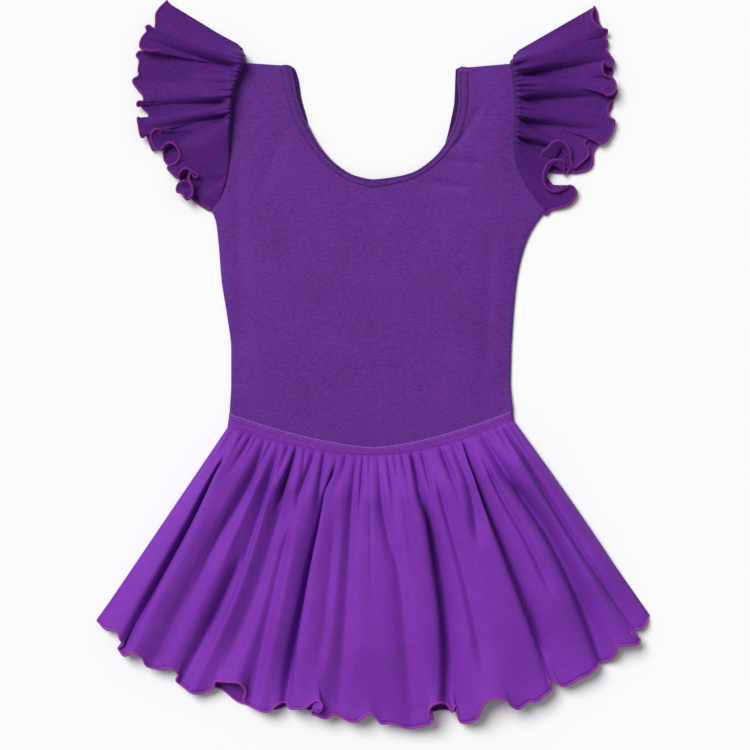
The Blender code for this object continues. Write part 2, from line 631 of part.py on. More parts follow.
def makeSleeve(name, side, table, creases, material):
    # A strip folded over the shoulder line. Its middle sheet runs up the back layer,
    # over the fold and down the front layer, and the wall stands half on each side of it.
    outward = -1 if side == "left" else 1
    knots = np.arange(len(table))
    levels = np.linspace(0, len(table) - 1, (len(table) - 1) * SLEEVE_ROWS_PER_SECTION + 1)
    armY = throughKnots(knots, column(table, SLEEVE_COLUMNS, "armY"), levels)
    armX = armholeX(side, armY) + outward * SLEEVE_SEAM_GAP
    hemX = throughKnots(knots, column(table, SLEEVE_COLUMNS, "hemX"), levels)
    hemY = throughKnots(knots, column(table, SLEEVE_COLUMNS, "hemY"), levels)
    lift = throughKnots(knots, column(table, SLEEVE_COLUMNS, "lift"), levels)
    along = (levels / levels[-1])[:, None]
    out = np.array(SLEEVE_COLUMNS_ACROSS)[None, :]
    frontX = armX[:, None] + (hemX - armX)[:, None] * out
    frontY = armY[:, None] + (hemY - armY)[:, None] * out
    fromFold = easeStep(along / SLEEVE_PUFF_EASE) * easeStep((1 - along) / SLEEVE_PUFF_EASE)
    lean, fullness = SLEEVE_PUFF_SHAPE
    puff = SLEEVE_PUFF * fromFold * np.maximum(np.sin(math.pi * out ** lean), 0) ** fullness
    body = np.maximum(puff - creaseDepth(creases, along, out) * fromFold, 0)
    startEase, endEase = SLEEVE_GATHER_EASE
    gathered = easeStep((SLEEVE_GATHER_END - along) / endEase) * easeStep(along / startEase)
    wave = (1 - np.cos(2 * math.pi * SLEEVE_GATHER_COUNT * along / SLEEVE_GATHER_END)) / 2
    gathers = SLEEVE_GATHER_HEIGHT * wave * gathered * np.exp(-out / SLEEVE_GATHER_REACH)
    ruffle = lift[:, None] * easeStep((out - RUFFLE_ZONE) / (1 - RUFFLE_ZONE)) * easeStep(along / RUFFLE_EASE)
    backMiddle = WALL / 2
    frontMiddle = backMiddle + LAYER
    front = np.stack([frontX, frontY, frontMiddle + body + gathers + ruffle], -1)

    # Back layer, bottom to top: the same armhole, and a smoother hem a little inside.
    pick = np.linspace(len(levels) - 1, 0, SLEEVE_BACK_ROWS + 1)
    window = np.ones(2 * CALM_REACH + 1) / (2 * CALM_REACH + 1)
    calmX = np.convolve(np.pad(hemX, CALM_REACH, mode="edge"), window, "valid")
    calmY = np.convolve(np.pad(hemY, CALM_REACH, mode="edge"), window, "valid")
    places = np.arange(len(levels))
    backArmX = np.interp(pick, places, armX) + outward * (SLEEVE_BACK_SEAM_GAP - SLEEVE_SEAM_GAP)
    backArm = np.stack([backArmX, np.interp(pick, places, armY)], -1)
    backHem = np.stack([np.interp(pick, places, calmX), np.interp(pick, places, calmY)], -1)
    backHem[-1] = (hemX[0], hemY[0])
    inset = SLEEVE_BACK_INSET * easeStep(pick / levels.size / SLEEVE_PUFF_EASE)[:, None]
    span = backHem - backArm
    backHem = backHem - span / np.linalg.norm(span, axis=1, keepdims=True) * inset
    flatPlaces = backArm[:, None, :] + (backHem - backArm)[:, None, :] * out[..., None]
    back = np.concatenate([flatPlaces, np.full(flatPlaces.shape[:2] + (1,), backMiddle)], -1)

    # The fold: half a turn round a line along the shoulder, away from the layers.
    foldRow = front[0]
    direction = foldRow[-1, :2] - foldRow[0, :2]
    direction = direction / np.linalg.norm(direction)
    away = np.array([-direction[1], direction[0]])
    away = away * (1 if away[1] > 0 else -1)
    radius = LAYER / 2
    turns = []
    for step in range(1, FOLD_STEPS + 1):
        angle = -math.pi / 2 + math.pi * step / (FOLD_STEPS + 1)
        row = foldRow.copy()
        row[:, :2] += away * radius * math.cos(angle)
        row[:, 2] = backMiddle + radius + radius * math.sin(angle)
        turns.append(row)
    middle = np.concatenate([back, np.array(turns), front], 0)
    normal = sheetNormals(middle)
    if normal[len(back) + FOLD_STEPS:, :, 2].mean() < 0:
        normal = -normal
    outer = middle + normal * WALL / 2
    inner = middle - normal * WALL / 2
    outer[:len(back) - 1, :, 2] = 0.0
    inner[:len(back) - 1, :, 2] = WALL
    faces = gridFaces(*middle.shape[:2])
    return makeWall(name, outer.reshape(-1, 3), inner.reshape(-1, 3), faces, material)


def sheetNormals(sheet):
    normal = np.cross(np.gradient(sheet, axis=1), np.gradient(sheet, axis=0))
    return normal / np.linalg.norm(normal, axis=-1, keepdims=True)


def main():
    clearScene()
    bodiceCloth = clothMaterial("bodice_knit", BODICE_COLOUR)
    skirtCloth = clothMaterial("skirt_knit", SKIRT_COLOUR)
    bandCloth = clothMaterial("band_knit", BAND_COLOUR)
    makeBodice("bodice_back", BACK_NECK, False, bodiceCloth)
    makeBodice("bodice_front", FRONT_NECK, True, bodiceCloth)
    makeNeckBand("neck_band_back", BACK_NECK, False, bodiceCloth)
    makeNeckBand("neck_band_front", FRONT_NECK, True, bodiceCloth)
    makeSleeve("sleeve_left", "left", LEFT_SLEEVE, LEFT_CREASES, bodiceCloth)
    makeSleeve("sleeve_right", "right", RIGHT_SLEEVE, RIGHT_CREASES, bodiceCloth)
    makeSkirtBandBack("skirt_band_back", bandCloth)
    makeSkirtBandFront("skirt_band_front", bandCloth)
    makeSkirtBack("skirt_back", skirtCloth)
    makeSkirtFront("skirt_front", skirtCloth)


main()
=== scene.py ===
# Child's skirted leotard in purple jersey, laid flat with the front up, seen from straight above.
# x runs across the garment, y from hem to shoulder, z up from the floor. Tables are in millimetres.
import math
import random

import bpy
import numpy as np
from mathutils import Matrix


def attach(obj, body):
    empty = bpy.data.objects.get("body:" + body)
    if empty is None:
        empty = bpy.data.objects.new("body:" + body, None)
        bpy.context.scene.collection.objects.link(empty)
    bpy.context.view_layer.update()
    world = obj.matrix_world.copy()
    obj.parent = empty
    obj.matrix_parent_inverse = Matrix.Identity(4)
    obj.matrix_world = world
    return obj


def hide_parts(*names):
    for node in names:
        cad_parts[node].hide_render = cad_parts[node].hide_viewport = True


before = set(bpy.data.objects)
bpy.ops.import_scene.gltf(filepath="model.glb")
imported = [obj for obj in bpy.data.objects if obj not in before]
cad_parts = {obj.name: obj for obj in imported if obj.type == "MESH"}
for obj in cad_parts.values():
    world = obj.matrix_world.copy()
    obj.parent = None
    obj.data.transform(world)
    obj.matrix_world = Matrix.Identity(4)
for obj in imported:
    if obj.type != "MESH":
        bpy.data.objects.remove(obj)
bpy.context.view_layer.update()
bpy.ops.object.select_all(action="DESELECT")

mm = 0.001
clothWall = 0.7
layerStep = 1.3  # from one layer of cloth to the next
floorGap = 0.05  # under the back layers
hemEvenness = 0.06  # how far a hem's places are drawn to an even spacing

# Armhole seam of both panels, from the shoulder to the underarm.
armholeColumns = ("leftX", "leftY", "rightX", "rightY")
armhole = (
    (-94.5, 216.5, 100.0, 216.0),
    (-98.5, 205.0, 102.0, 204.0),
    (-103.0, 191.5, 103.0, 191.0),
    (-104.0, 178.0, 103.0, 176.5),
    (-105.0, 163.5, 102.5, 162.0),
    (-105.5, 149.0, 103.0, 149.0),
    (-107.5, 134.0, 108.0, 134.0),
    (-111.5, 121.0, 116.0, 121.0),
    (-118.0, 110.0, 125.0, 110.0),
)

# Where each panel meets its neck band, and the band's free edge, at the armhole's levels.
neckColumns = ("seamLeftX", "seamLeftY", "edgeLeftX", "edgeLeftY",
               "edgeRightX", "edgeRightY", "seamRightX", "seamRightY")
frontNeck = (
    (-68.5, 214.5, -59.5, 215.5, 61.0, 214.0, 69.0, 213.0),
    (-67.0, 204.5, -57.0, 204.5, 60.0, 203.0, 69.0, 204.0),
    (-63.5, 191.5, -55.0, 192.0, 61.0, 191.5, 69.0, 191.0),
    (-59.5, 178.0, -51.0, 180.0, 59.5, 178.5, 67.0, 176.5),
    (-52.5, 165.0, -45.0, 167.0, 56.0, 168.0, 63.0, 165.0),
    (-43.0, 151.0, -37.5, 154.5, 49.5, 155.5, 54.5, 152.5),
    (-30.0, 138.0, -26.0, 142.5, 39.0, 144.5, 43.0, 141.0),
    (-16.0, 129.5, -13.0, 135.0, 25.0, 136.5, 27.5, 132.0),
    (0.0, 125.5, 0.0, 132.5, 0.0, 132.5, 0.0, 125.5),
)
backNeck = (
    (-67.5, 214.5, -58.5, 215.5, 59.0, 214.0, 69.0, 213.0),
    (-63.5, 202.5, -54.5, 204.0, 58.5, 202.5, 68.0, 201.5),
    (-61.0, 189.5, -52.5, 191.0, 58.0, 189.5, 66.5, 188.5),
    (-57.0, 174.0, -48.5, 176.5, 55.5, 175.5, 64.0, 174.0),
    (-53.5, 160.0, -45.5, 162.5, 52.5, 162.5, 61.0, 160.0),
    (-48.0, 142.5, -40.5, 146.0, 47.0, 146.0, 54.5, 142.5),
    (-40.5, 124.0, -34.0, 128.0, 39.0, 128.0, 46.0, 124.0),
    (-24.5, 107.5, -21.0, 113.0, 22.5, 113.0, 26.5, 107.5),
    (0.0, 101.0, 0.0, 107.5, 0.0, 107.5, 0.0, 101.0),
)

# Both panels below the neck. sag is the power of the dip to the middle, rise the lift by the
# skirt's layers, and loft how far the front stands off the back.
bodyColumns = ("leftX", "leftY", "middleY", "rightX", "rightY", "sag", "rise", "loft")
body = (
    (-114.0, 101.5, 106.5, 117.5, 101.5, 1.0, 0.0, 2.2),
    (-112.0, 85.0, 83.5, 109.0, 85.0, 1.0, 0.0, 2.6),
    (-110.0, 60.0, 56.0, 103.0, 60.0, 1.2, 0.0, 3.0),
    (-106.0, 34.5, 29.5, 100.5, 34.5, 1.3, 0.0, 3.0),
    (-103.0, 9.5, 2.0, 99.0, 9.5, 1.4, 0.0, 2.8),
    (-103.0, -14.5, -28.0, 98.5, -14.5, 1.5, 0.0, 2.0),
    (-104.0, -36.0, -60.5, 100.0, -34.0, 1.5, layerStep, 0.0),
    (-101.0, -47.0, -66.5, 97.0, -42.0, 1.8, layerStep, 0.0),
    (-96.5, -61.0, -83.0, 93.5, -59.0, 1.8, layerStep, 0.0),
    (-94.5, -80.5, -100.0, 90.5, -80.5, 1.8, layerStep, 0.0),
    (-80.5, -106.0, -120.0, 80.5, -106.0, 1.5, layerStep, 0.0),
    (-53.5, -134.5, -143.5, 53.5, -134.5, 1.3, layerStep, 0.0),
    (-30.0, -157.5, -163.5, 30.0, -157.5, 1.0, layerStep, 0.0),
    (-18.5, -179.5, -179.5, 18.5, -179.5, 1.0, layerStep, 0.0),
)
neckLoft = (0.0, 0.3, 0.5, 0.7, 0.9, 1.2, 1.5, 1.8, 2.0)  # loft at the armhole's levels

# Levels count the rows down from the shoulder. The skirt band is one row high.
scoopLevel = len(armhole) - 1
bandTopLevel = scoopLevel + 7
bandFootLevel = bandTopLevel + 1
crotchLevel = scoopLevel + len(body)


def column(table, names, name):
    return np.array([row[names.index(name)] for row in table], float)


def ease(share):  # 0 below 0, 1 above 1, and a smooth rise between
    share = np.clip(share, 0, 1)
    return share * share * (3 - 2 * share)


def beyond(share, start, power):  # 0 as far as the start, then rising to 1
    return np.clip((share - start) / (1 - start), 0, 1) ** power


def bell(distance, width):
    return np.exp(-(distance / width) ** 2)


def endSlope(nearest, second):  # slope at a curve's end, never against its last rise
    slope = 1.5 * nearest - 0.5 * second
    if slope * nearest <= 0:
        return 0.0
    return slope if abs(slope) < 3 * abs(nearest) else 3 * nearest


def through(knots, values, at):  # smooth curve that doesn't swing past its values
    knots = np.asarray(knots, float)
    values = np.asarray(values, float)
    at = np.clip(np.asarray(at, float), knots[0], knots[-1])
    spans = np.diff(knots)
    rises = np.diff(values) / spans
    slopes = np.zeros(len(knots))
    slopes[0] = endSlope(rises[0], rises[min(1, len(rises) - 1)])
    slopes[-1] = endSlope(rises[-1], rises[max(-2, -len(rises))])
    for k in range(1, len(knots) - 1):
        if rises[k - 1] * rises[k] > 0:
            slopes[k] = 2 * rises[k - 1] * rises[k] / (rises[k - 1] + rises[k])
    return cubic(knots, values, slopes, at)


def cubic(knots, values, slopes, at):  # curve from its values and slopes at the knots
    cell = np.clip(np.searchsorted(knots, at, side="right") - 1, 0, len(knots) - 2)
    span = knots[cell + 1] - knots[cell]
    share = (at - knots[cell]) / span
    if values.ndim > 1:
        span, share = span[:, None], share[:, None]
    leaving = (share ** 3 - 2 * share ** 2 + share) * slopes[cell] * span
    arriving = (share ** 3 - share ** 2) * slopes[cell + 1] * span
    rise = 3 * share ** 2 - 2 * share ** 3
    return (1 - rise) * values[cell] + leaving + rise * values[cell + 1] + arriving


def roundThrough(points, count):  # round curve through hand-placed points, evenly walked
    points = np.asarray(points, float)
    knots = np.r_[0, np.cumsum(np.linalg.norm(np.diff(points[:, :3], axis=0), axis=1))]
    slopes = np.gradient(points, knots, axis=0)
    return cubic(knots, points, slopes, np.linspace(0, knots[-1], count))


def inOrder(shares, evenness):  # places along a seam that never run backwards
    forward = np.maximum.accumulate(shares)
    backward = np.minimum.accumulate(shares[::-1])[::-1]
    middle = (forward + backward) / 2
    even = np.linspace(middle[0], middle[-1], len(middle))
    return middle * (1 - evenness) + even * evenness


# Materials: one bench for each, and sums written with the usual signs
class Signal:
    def __init__(self, bench, socket):
        self.bench = bench
        self.socket = socket

    def maths(self, operation, first, second=0.0):
        return self.bench.node("ShaderNodeMath", {"operation": operation}, {0: first, 1: second})

    def __add__(self, other):
        return self.maths("ADD", self, other)

    def __sub__(self, other):
        return self.maths("SUBTRACT", self, other)

    def __rsub__(self, other):
        return self.maths("SUBTRACT", other, self)

    def __mul__(self, other):
        return self.maths("MULTIPLY", self, other)

    def sine(self):
        return self.maths("SINE", self)

    __radd__ = __add__
    __rmul__ = __mul__


class Bench:
    def __init__(self, name):
        self.material = bpy.data.materials.new(name)
        self.material.use_nodes = True
        self.tree = self.material.node_tree
        self.shader = self.tree.nodes["Principled BSDF"]

    def node(self, kind, settings=None, inputs=None, output=0):
        added = self.tree.nodes.new(kind)
        for name, value in (settings or {}).items():
            setattr(added, name, value)
        for place, value in (inputs or {}).items():
            self.feed(added.inputs[place], value)
        return Signal(self, added.outputs[output])

    def feed(self, socket, value):
        if isinstance(value, Signal):
            self.tree.links.new(value.socket, socket)
        else:
            socket.default_value = value

    def mixColours(self, share, first, second):
        return self.node("ShaderNodeMix", {"data_type": "RGBA"}, {0: share, 6: first, 7: second}, 2)

    def place(self):  # object coordinates
        return self.node("ShaderNodeTexCoord", output=3)

    def bump(self, strength, height):
        inputs = {"Strength": strength, "Distance": bumpDistance, "Height": height}
        return self.node("ShaderNodeBump", {}, inputs)

    def noise(self, place, scale, detail=2.0):
        return self.node("ShaderNodeTexNoise", {}, {"Vector": place, "Scale": scale, "Detail": detail})

    def finish(self, **sockets):
        for name, value in sockets.items():
            self.feed(self.shader.inputs[name.replace("_", " ")], value)
        return self.material


def linear(channel):
    share = channel / 255
    return share / 12.92 if share <= 0.04045 else ((share + 0.055) / 1.055) ** 2.4


def paint(red, green, blue):
    return (linear(red), linear(green), linear(blue), 1)


# Spacing of the knit in millimetres, scales of the noises, and shares of the relief and the colour
bumpDistance = 0.0002  # metres
clothLooks = {
    "wale": 0.95, "course": 1.5, "waleWobble": 2.0, "courseWobble": 3.0, "grain": (0.7, 1.3, 1.0),
    "wobbleScale": 260.0, "fuzzScale": 1500.0, "cloudScale": 26.0, "speckleScale": 560.0,
    "speckleDetail": 3.0, "courseTone": 0.08, "speckle": 3.0, "cloud": 0.9, "relief": 0.3, "roughness": 0.8,
    "waleRelief": 0.3, "courseRelief": 0.35, "fuzzRelief": 0.5, "speckleRelief": 0.8,
    "sheen": 0.05, "sheenRoughness": 0.45, "sheenTint": (210, 170, 240), "specular": 0.52,
}
threadLooks = {"relief": 0.4, "roughness": 0.6, "sheen": 0.1, "specular": 0.3}
knits = {
    "bodice_knit_cloth": {"dark": (80, 14, 122), "light": (100, 30, 142)},
    # back neck band: the jersey's wrong side, also painted darker as painted shade cast by the front band
    # over it
    "inside_and_shade_knit_cloth": {"dark": (58, 6, 84), "light": (76, 14, 104), "specular": 0.2},
    "skirt_knit_cloth": {"dark": (104, 24, 150), "light": (126, 44, 176), "specular": 0.48, "speckle": 1.1},
    # front neck edge: the bodice's jersey painted darker, as painted shade
    "neck_edge_shaded_cloth": {"dark": (72, 11, 112), "light": (92, 27, 132)},
    "band_knit_cloth": {"dark": (100, 22, 146), "light": (118, 40, 166)},
    # sleeves: the bodice's jersey painted darker, as painted shade
    "sleeve_shaded_knit_cloth": {"dark": (67, 10, 104), "light": (86, 24, 124), "specular": 0.28, "speckle": 2.3},
}
threads = {
    "hem_thread": {"twist": 900.0, "dark": (112, 22, 136), "light": (172, 62, 186)},
    "seam_thread": {"twist": 700.0, "dark": (120, 16, 126), "light": (164, 40, 162)},
    "neck_thread": {"twist": 700.0, "dark": (46, 2, 62), "light": (84, 10, 94)},
    # sleeve hems: the hem thread painted darker, as painted shade
    "sleeve_hem_shaded_thread": {"twist": 900.0, "dark": (84, 4, 100), "light": (134, 22, 144)},
    "edge_thread": {"twist": 700.0, "dark": (132, 92, 176), "light": (172, 138, 204)},
}


def jersey(name, looks):  # knit cloth: courses and wales in low relief, with soft mottling
    bench = Bench(name)
    place = bench.place()
    laid = bench.node("ShaderNodeUVMap", {"uv_map": "cloth"})
    across = bench.node("ShaderNodeSeparateXYZ", {}, {0: laid})
    along = bench.node("ShaderNodeSeparateXYZ", {}, {0: laid}, 1)
    wobble = bench.noise(place, looks["wobbleScale"])
    wales = (across * (2 * math.pi / (looks["wale"] * mm)) + wobble * looks["waleWobble"]).sine()
    courses = (along * (2 * math.pi / (looks["course"] * mm)) + wobble * looks["courseWobble"]).sine()
    fuzz = bench.noise(place, looks["fuzzScale"])
    drawn = bench.node("ShaderNodeVectorMath", {"operation": "MULTIPLY"}, {0: place, 1: looks["grain"]})
    speckle = bench.noise(drawn, looks["speckleScale"], looks["speckleDetail"])
    cloudy = bench.noise(place, looks["cloudScale"])
    relief = wales * looks["waleRelief"] + courses * looks["courseRelief"]
    relief = relief + fuzz * looks["fuzzRelief"] + speckle * looks["speckleRelief"]
    share = courses * looks["courseTone"] + (speckle - 0.5) * looks["speckle"]
    share = share + (cloudy - 0.5) * looks["cloud"] + 0.5
    colour = bench.mixColours(share, paint(*looks["dark"]), paint(*looks["light"]))
    return bench.finish(Base_Color=colour, Normal=bench.bump(looks["relief"], relief),
                        Roughness=looks["roughness"], Specular_IOR_Level=looks["specular"],
                        Sheen_Weight=looks["sheen"], Sheen_Roughness=looks["sheenRoughness"],
                        Sheen_Tint=paint(*looks["sheenTint"]))


def thread(name, looks):  # sewing thread, with the twist as fine bands of colour
    bench = Bench(name)
    twist = bench.noise(bench.place(), looks["twist"])
    colour = bench.mixColours(twist, paint(*looks["dark"]), paint(*looks["light"]))
    return bench.finish(Base_Color=colour, Normal=bench.bump(looks["relief"], twist),
                        Roughness=looks["roughness"], Sheen_Weight=looks["sheen"],
                        Specular_IOR_Level=looks["specular"])


print("materials")
bodiceKnit, insideAndShadeKnit, skirtKnit, neckShadeKnit, bandKnit, sleeveShadeKnit = (
    jersey(name, clothLooks | own) for name, own in knits.items())
hemThread, seamThread, neckThread, sleeveShadeThread, edgeThread = (
    thread(name, threadLooks | own) for name, own in threads.items())


def takeOver(piece, node=None):  # puts every piece of the garment on the root body and hides the part it stands for
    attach(piece, "root")
    if node:
        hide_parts(node)
    return piece


def clothGrid(name, points, material):
    # A grid primitive with its points set, and a map in real metres for the knit.
    rows, columns = points.shape[:2]
    bpy.ops.mesh.primitive_grid_add(x_subdivisions=columns - 1, y_subdivisions=rows - 1, size=1)
    piece = bpy.context.object
    piece.name = name
    piece.data.name = name
    piece.data.vertices.foreach_set("co", (points * mm).ravel())
    down = np.r_[0, np.cumsum(np.linalg.norm(np.diff(points, axis=0), axis=2).mean(axis=1))]
    over = np.r_[0, np.cumsum(np.linalg.norm(np.diff(points, axis=1), axis=2).mean(axis=0))]
    places = np.stack(np.meshgrid(over, down), -1).reshape(-1, 2) * mm
    layer = piece.data.uv_layers[0]
    layer.name = "cloth"
    corners = np.zeros(len(piece.data.loops), int)
    piece.data.loops.foreach_get("vertex_index", corners)
    layer.data.foreach_set("uv", places[corners].ravel())
    piece.data.materials.append(material)
    piece.data.update()
    return piece


def only(piece):  # selects one piece and nothing else
    bpy.ops.object.select_all(action="DESELECT")
    piece.select_set(True)
    bpy.context.view_layer.objects.active = piece


def inEditMode(operator, **settings):  # one edit on the whole of the active piece
    bpy.ops.object.mode_set(mode="EDIT")
    bpy.ops.mesh.select_all(action="SELECT")
    operator(**settings)
    bpy.ops.object.mode_set(mode="OBJECT")


def thicken(piece, above=0.0):
    # Gives the sheet its wall downwards from the points. Its cloth above the given height faces up.
    only(piece)
    counted = [face for face in piece.data.polygons if face.center.z > above * mm]
    if sum(face.normal.z * face.area for face in counted) < 0:
        inEditMode(bpy.ops.mesh.flip_normals)
    solid = piece.modifiers.new("wall", "SOLIDIFY")
    solid.thickness = clothWall * mm
    solid.offset = -1
    bpy.ops.object.modifier_apply(modifier=solid.name)
    bpy.ops.object.shade_smooth()
    bpy.ops.object.select_all(action="DESELECT")
    return piece


def meshPiece(name, points, faces, material):  # a smooth piece from points and faces
    mesh = bpy.data.meshes.new(name)
    mesh.from_pydata((points * mm).tolist(), [], faces)
    mesh.materials.append(material)
    mesh.shade_smooth()
    piece = bpy.data.objects.new(name, mesh)
    bpy.context.scene.collection.objects.link(piece)
    return piece


# Bodice panels
bodiceLooks = {"rowStep": 0.11, "halfColumns": 42, "columnSpread": 1.35, "swellRate": 1.6,
               "edgeRounding": 3.0, "lapUnderBand": 1.5, "edgeRoll": 0.4, "rollReach": 1.6,
               "wrinkleTaper": 0.3, "weld": 0.02}
wrinkleColumns = ("fromX", "fromY", "toX", "toY", "height", "width")
frontWrinkles = (
    (0.0, 122.0, 0.5, 55.0, -0.25, 1.2),
    (15.0, 126.0, 20.0, 116.0, -0.5, 1.6),
    (19.0, 124.0, 26.0, 106.0, -0.5, 1.6),
    (76.0, 184.0, 66.0, 166.0, -0.9, 2.4),
    (66.0, 166.0, 56.0, 157.0, -0.7, 2.4),
    (53.0, 146.0, 76.0, 143.5, -1.1, 3.0),
    (38.0, 131.0, 66.0, 126.0, -1.1, 3.4),
    (58.0, 118.0, 84.0, 108.0, -0.7, 4.0),
    (84.0, 96.0, 80.0, -6.0, -0.8, 5.0),
    (-98.0, 140.0, -95.0, 20.0, -1.1, 5.0),
    (-88.0, 128.0, -70.0, 90.0, 0.7, 9.0),
    (-64.0, 168.0, -84.0, 120.0, -0.6, 5.0),
    (-60.0, 60.0, 30.0, 52.0, 0.4, 9.0),
    (-40.0, 22.0, 60.0, 12.0, -0.4, 8.0),
    (-90.0, -28.0, -40.0, -42.0, -0.4, 5.0),
)


def neckLine(neck, line):  # places down the scoop of a line such as edgeLeft
    return np.stack([column(neck, neckColumns, line + axis) for axis in "XY"], 1)


def bodiceSections(neck):
    values = {}
    for name in ("leftX", "leftY", "rightX", "rightY"):
        values[name] = np.r_[column(armhole, armholeColumns, name), column(body, bodyColumns, name)]
    for side in ("Left", "Right"):
        seam, edge = neckLine(neck, "seam" + side), neckLine(neck, "edge" + side)
        toward = (edge - seam) / np.linalg.norm(edge - seam, axis=1, keepdims=True)
        seam = seam + toward * bodiceLooks["lapUnderBand"]
        values["seam" + side + "X"] = np.r_[seam[:, 0], np.zeros(len(body))]
        values["seam" + side + "Y"] = np.r_[seam[:, 1], column(body, bodyColumns, "middleY")]
    values["sag"] = np.r_[np.ones(len(armhole)), column(body, bodyColumns, "sag")]
    values["rise"] = np.r_[np.zeros(len(armhole)), column(body, bodyColumns, "rise")]
    values["loft"] = np.r_[neckLoft, column(body, bodyColumns, "loft")]
    return values


def sectionAt(values, level):  # the neck's sections and the body's are two runs with a corner between
    run = slice(0, scoopLevel + 1) if level <= scoopLevel else slice(scoopLevel, None)
    knots = np.arange(len(values["sag"]))[run]
    found = {}
    for name, series in values.items():
        if name in ("rise", "sag", "loft"):
            found[name] = float(np.interp(level, knots, series[run]))
        else:
            found[name] = float(through(knots, series[run], level))
    return found


def wrinkleHeight(wrinkles, x, y):
    height = np.zeros(np.shape(x))
    fade = bodiceLooks["wrinkleTaper"]
    for row in wrinkles:
        crease = dict(zip(wrinkleColumns, row))
        start = np.array([crease["fromX"], crease["fromY"]])
        run = np.array([crease["toX"], crease["toY"]]) - start
        length = np.linalg.norm(run)
        along = ((x - start[0]) * run[0] + (y - start[1]) * run[1]) / length ** 2
        aside = ((x - start[0]) * -run[1] + (y - start[1]) * run[0]) / length
        taper = ease(along / fade + 0.5) * ease((1 - along) / fade + 0.5)
        height += crease["height"] * taper * bell(aside, crease["width"])
    return height


def panelHalf(values, side, isFront):
    looks = bodiceLooks
    levels = np.arange(0, crotchLevel + looks["rowStep"] / 2, looks["rowStep"])
    levels = np.unique(np.r_[levels[levels < crotchLevel], scoopLevel, crotchLevel])
    share = np.linspace(0, 1, looks["halfColumns"]) ** looks["columnSpread"]
    rows = []
    for level in levels:
        section = sectionAt(values, level)
        outerX, outerY = section[side.lower() + "X"], section[side.lower() + "Y"]
        innerX, innerY = section["seam" + side + "X"], section["seam" + side + "Y"]
        x = outerX + (innerX - outerX) * share
        y = innerY + (outerY - innerY) * (1 - share) ** section["sag"]
        z = section["rise"] + clothWall + 0 * share
        if isFront:
            swell = 1 - (1 - np.clip(share * looks["swellRate"], 0, 1)) ** looks["edgeRounding"]
            fromEdge = share * np.hypot(innerX - outerX, innerY - outerY)
            rolled = looks["edgeRoll"] * (1 - np.clip(fromEdge / looks["rollReach"], 0, 1)) ** 2
            z = z + layerStep + section["loft"] * swell - rolled
        rows.append(np.stack([x, y, z], -1))
    return np.array(rows)


def bodicePanel(name, node, neck, isFront, wrinkles):
    # Two half grids that are merged where they meet below the scoop.
    values = bodiceSections(neck)
    halves = []
    for side in ("Left", "Right"):
        points = panelHalf(values, side, isFront)
        points[..., 2] += wrinkleHeight(wrinkles, points[..., 0], points[..., 1])
        halves.append(clothGrid(name, points if side == "Left" else points[:, ::-1], bodiceKnit))
    left, right = halves
    only(left)
    right.select_set(True)
    bpy.ops.object.join()
    inEditMode(bpy.ops.mesh.remove_doubles, threshold=bodiceLooks["weld"] * mm)
    return takeOver(thicken(left), node)


print("bodice")
bodiceBack = bodicePanel("back_panel", "bodice_back", backNeck, False, ())
bodiceFront = bodicePanel("front_panel", "bodice_front", frontNeck, True, frontWrinkles)


# Stitches: one is modelled and then laid along a line, again and again, in a single mesh
stitchLooks = {"segments": 6, "rings": 4, "unevenTurn": 0.12}


def stitchShape(length, width, height):
    looks = stitchLooks
    bpy.ops.mesh.primitive_uv_sphere_add(segments=looks["segments"], ring_count=looks["rings"], radius=0.5)
    shape = bpy.context.object
    bpy.ops.transform.resize(value=(length, width, height))
    bpy.ops.object.transform_apply(location=True, rotation=True, scale=True)
    points = np.array([vertex.co for vertex in shape.data.vertices])
    faces = [list(face.vertices) for face in shape.data.polygons]
    bpy.data.objects.remove(shape, do_unlink=True)
    return points, faces


def evenly(path, step):  # places and directions along a line at an even step
    path = np.asarray(path, float)
    lengths = np.r_[0, np.cumsum(np.linalg.norm(np.diff(path, axis=0), axis=1))]
    at = np.arange(step / 2, lengths[-1], step)
    places, ahead, behind = (np.stack([np.interp(at + shift, lengths, axis) for axis in path.T], -1)
                             for shift in (0, step / 4, -step / 4))
    along = ahead - behind
    return places, along / np.linalg.norm(along, axis=1, keepdims=True)


def stitchRow(name, path, looks, material):
    points, faces = stitchShape(looks["length"], looks["width"], looks["height"])
    places, along = evenly(path, looks["pitch"])
    dice = random.Random(looks["seed"])
    uneven = stitchLooks["unevenTurn"]
    vertices, polygons = [], []
    for number, (place, ahead) in enumerate(zip(places, along)):
        side = 1 if number % 2 else -1
        turn = looks["slant"] * side + dice.uniform(-uneven, uneven)
        heading = math.atan2(ahead[1], ahead[0]) + turn
        forward = np.array([math.cos(heading), math.sin(heading), ahead[2]])
        forward = forward / np.linalg.norm(forward)
        sideways = np.array([-math.sin(heading), math.cos(heading), 0.0])
        turned = points @ np.array([forward, sideways, np.cross(forward, sideways)])
        vertices.append(turned + place + sideways * looks["zigzag"] * side)
        polygons.extend([[number * len(points) + k for k in face] for face in faces])
    return takeOver(meshPiece(name, np.concatenate(vertices), polygons, material))


# Neck bands: a turned edge, held down by two rows of stitches
neckBandLooks = {"columns": 22, "stations": 260, "lap": 0.1, "inner": 0.72, "outer": 0.1, "grooveWidth": 0.07,
                 "edgeReach": 0.1, "seamReach": 0.06, "seamDrop": 0.5, "cornerDrop": 2.2, "cornerReach": 0.5,
                 "lowest": clothWall + 0.02, "stitchLift": 0.05}
neckFrontForm = {"step": layerStep, "loft": 1.0, "flat": 0.0, "crown": 0.7, "groove": 0.65, "edgeDrop": 1.0}
neckBackForm = {"step": 0.0, "loft": 0.0, "flat": 0.1, "crown": 0.0, "groove": 0.13, "edgeDrop": 0.4}
neckStitch = {"length": 1.5, "width": 1.0, "height": 0.6, "pitch": 2.3, "slant": 0.0, "zigzag": 0.0,
              "seed": 4, "slot": "bodice_knit"}


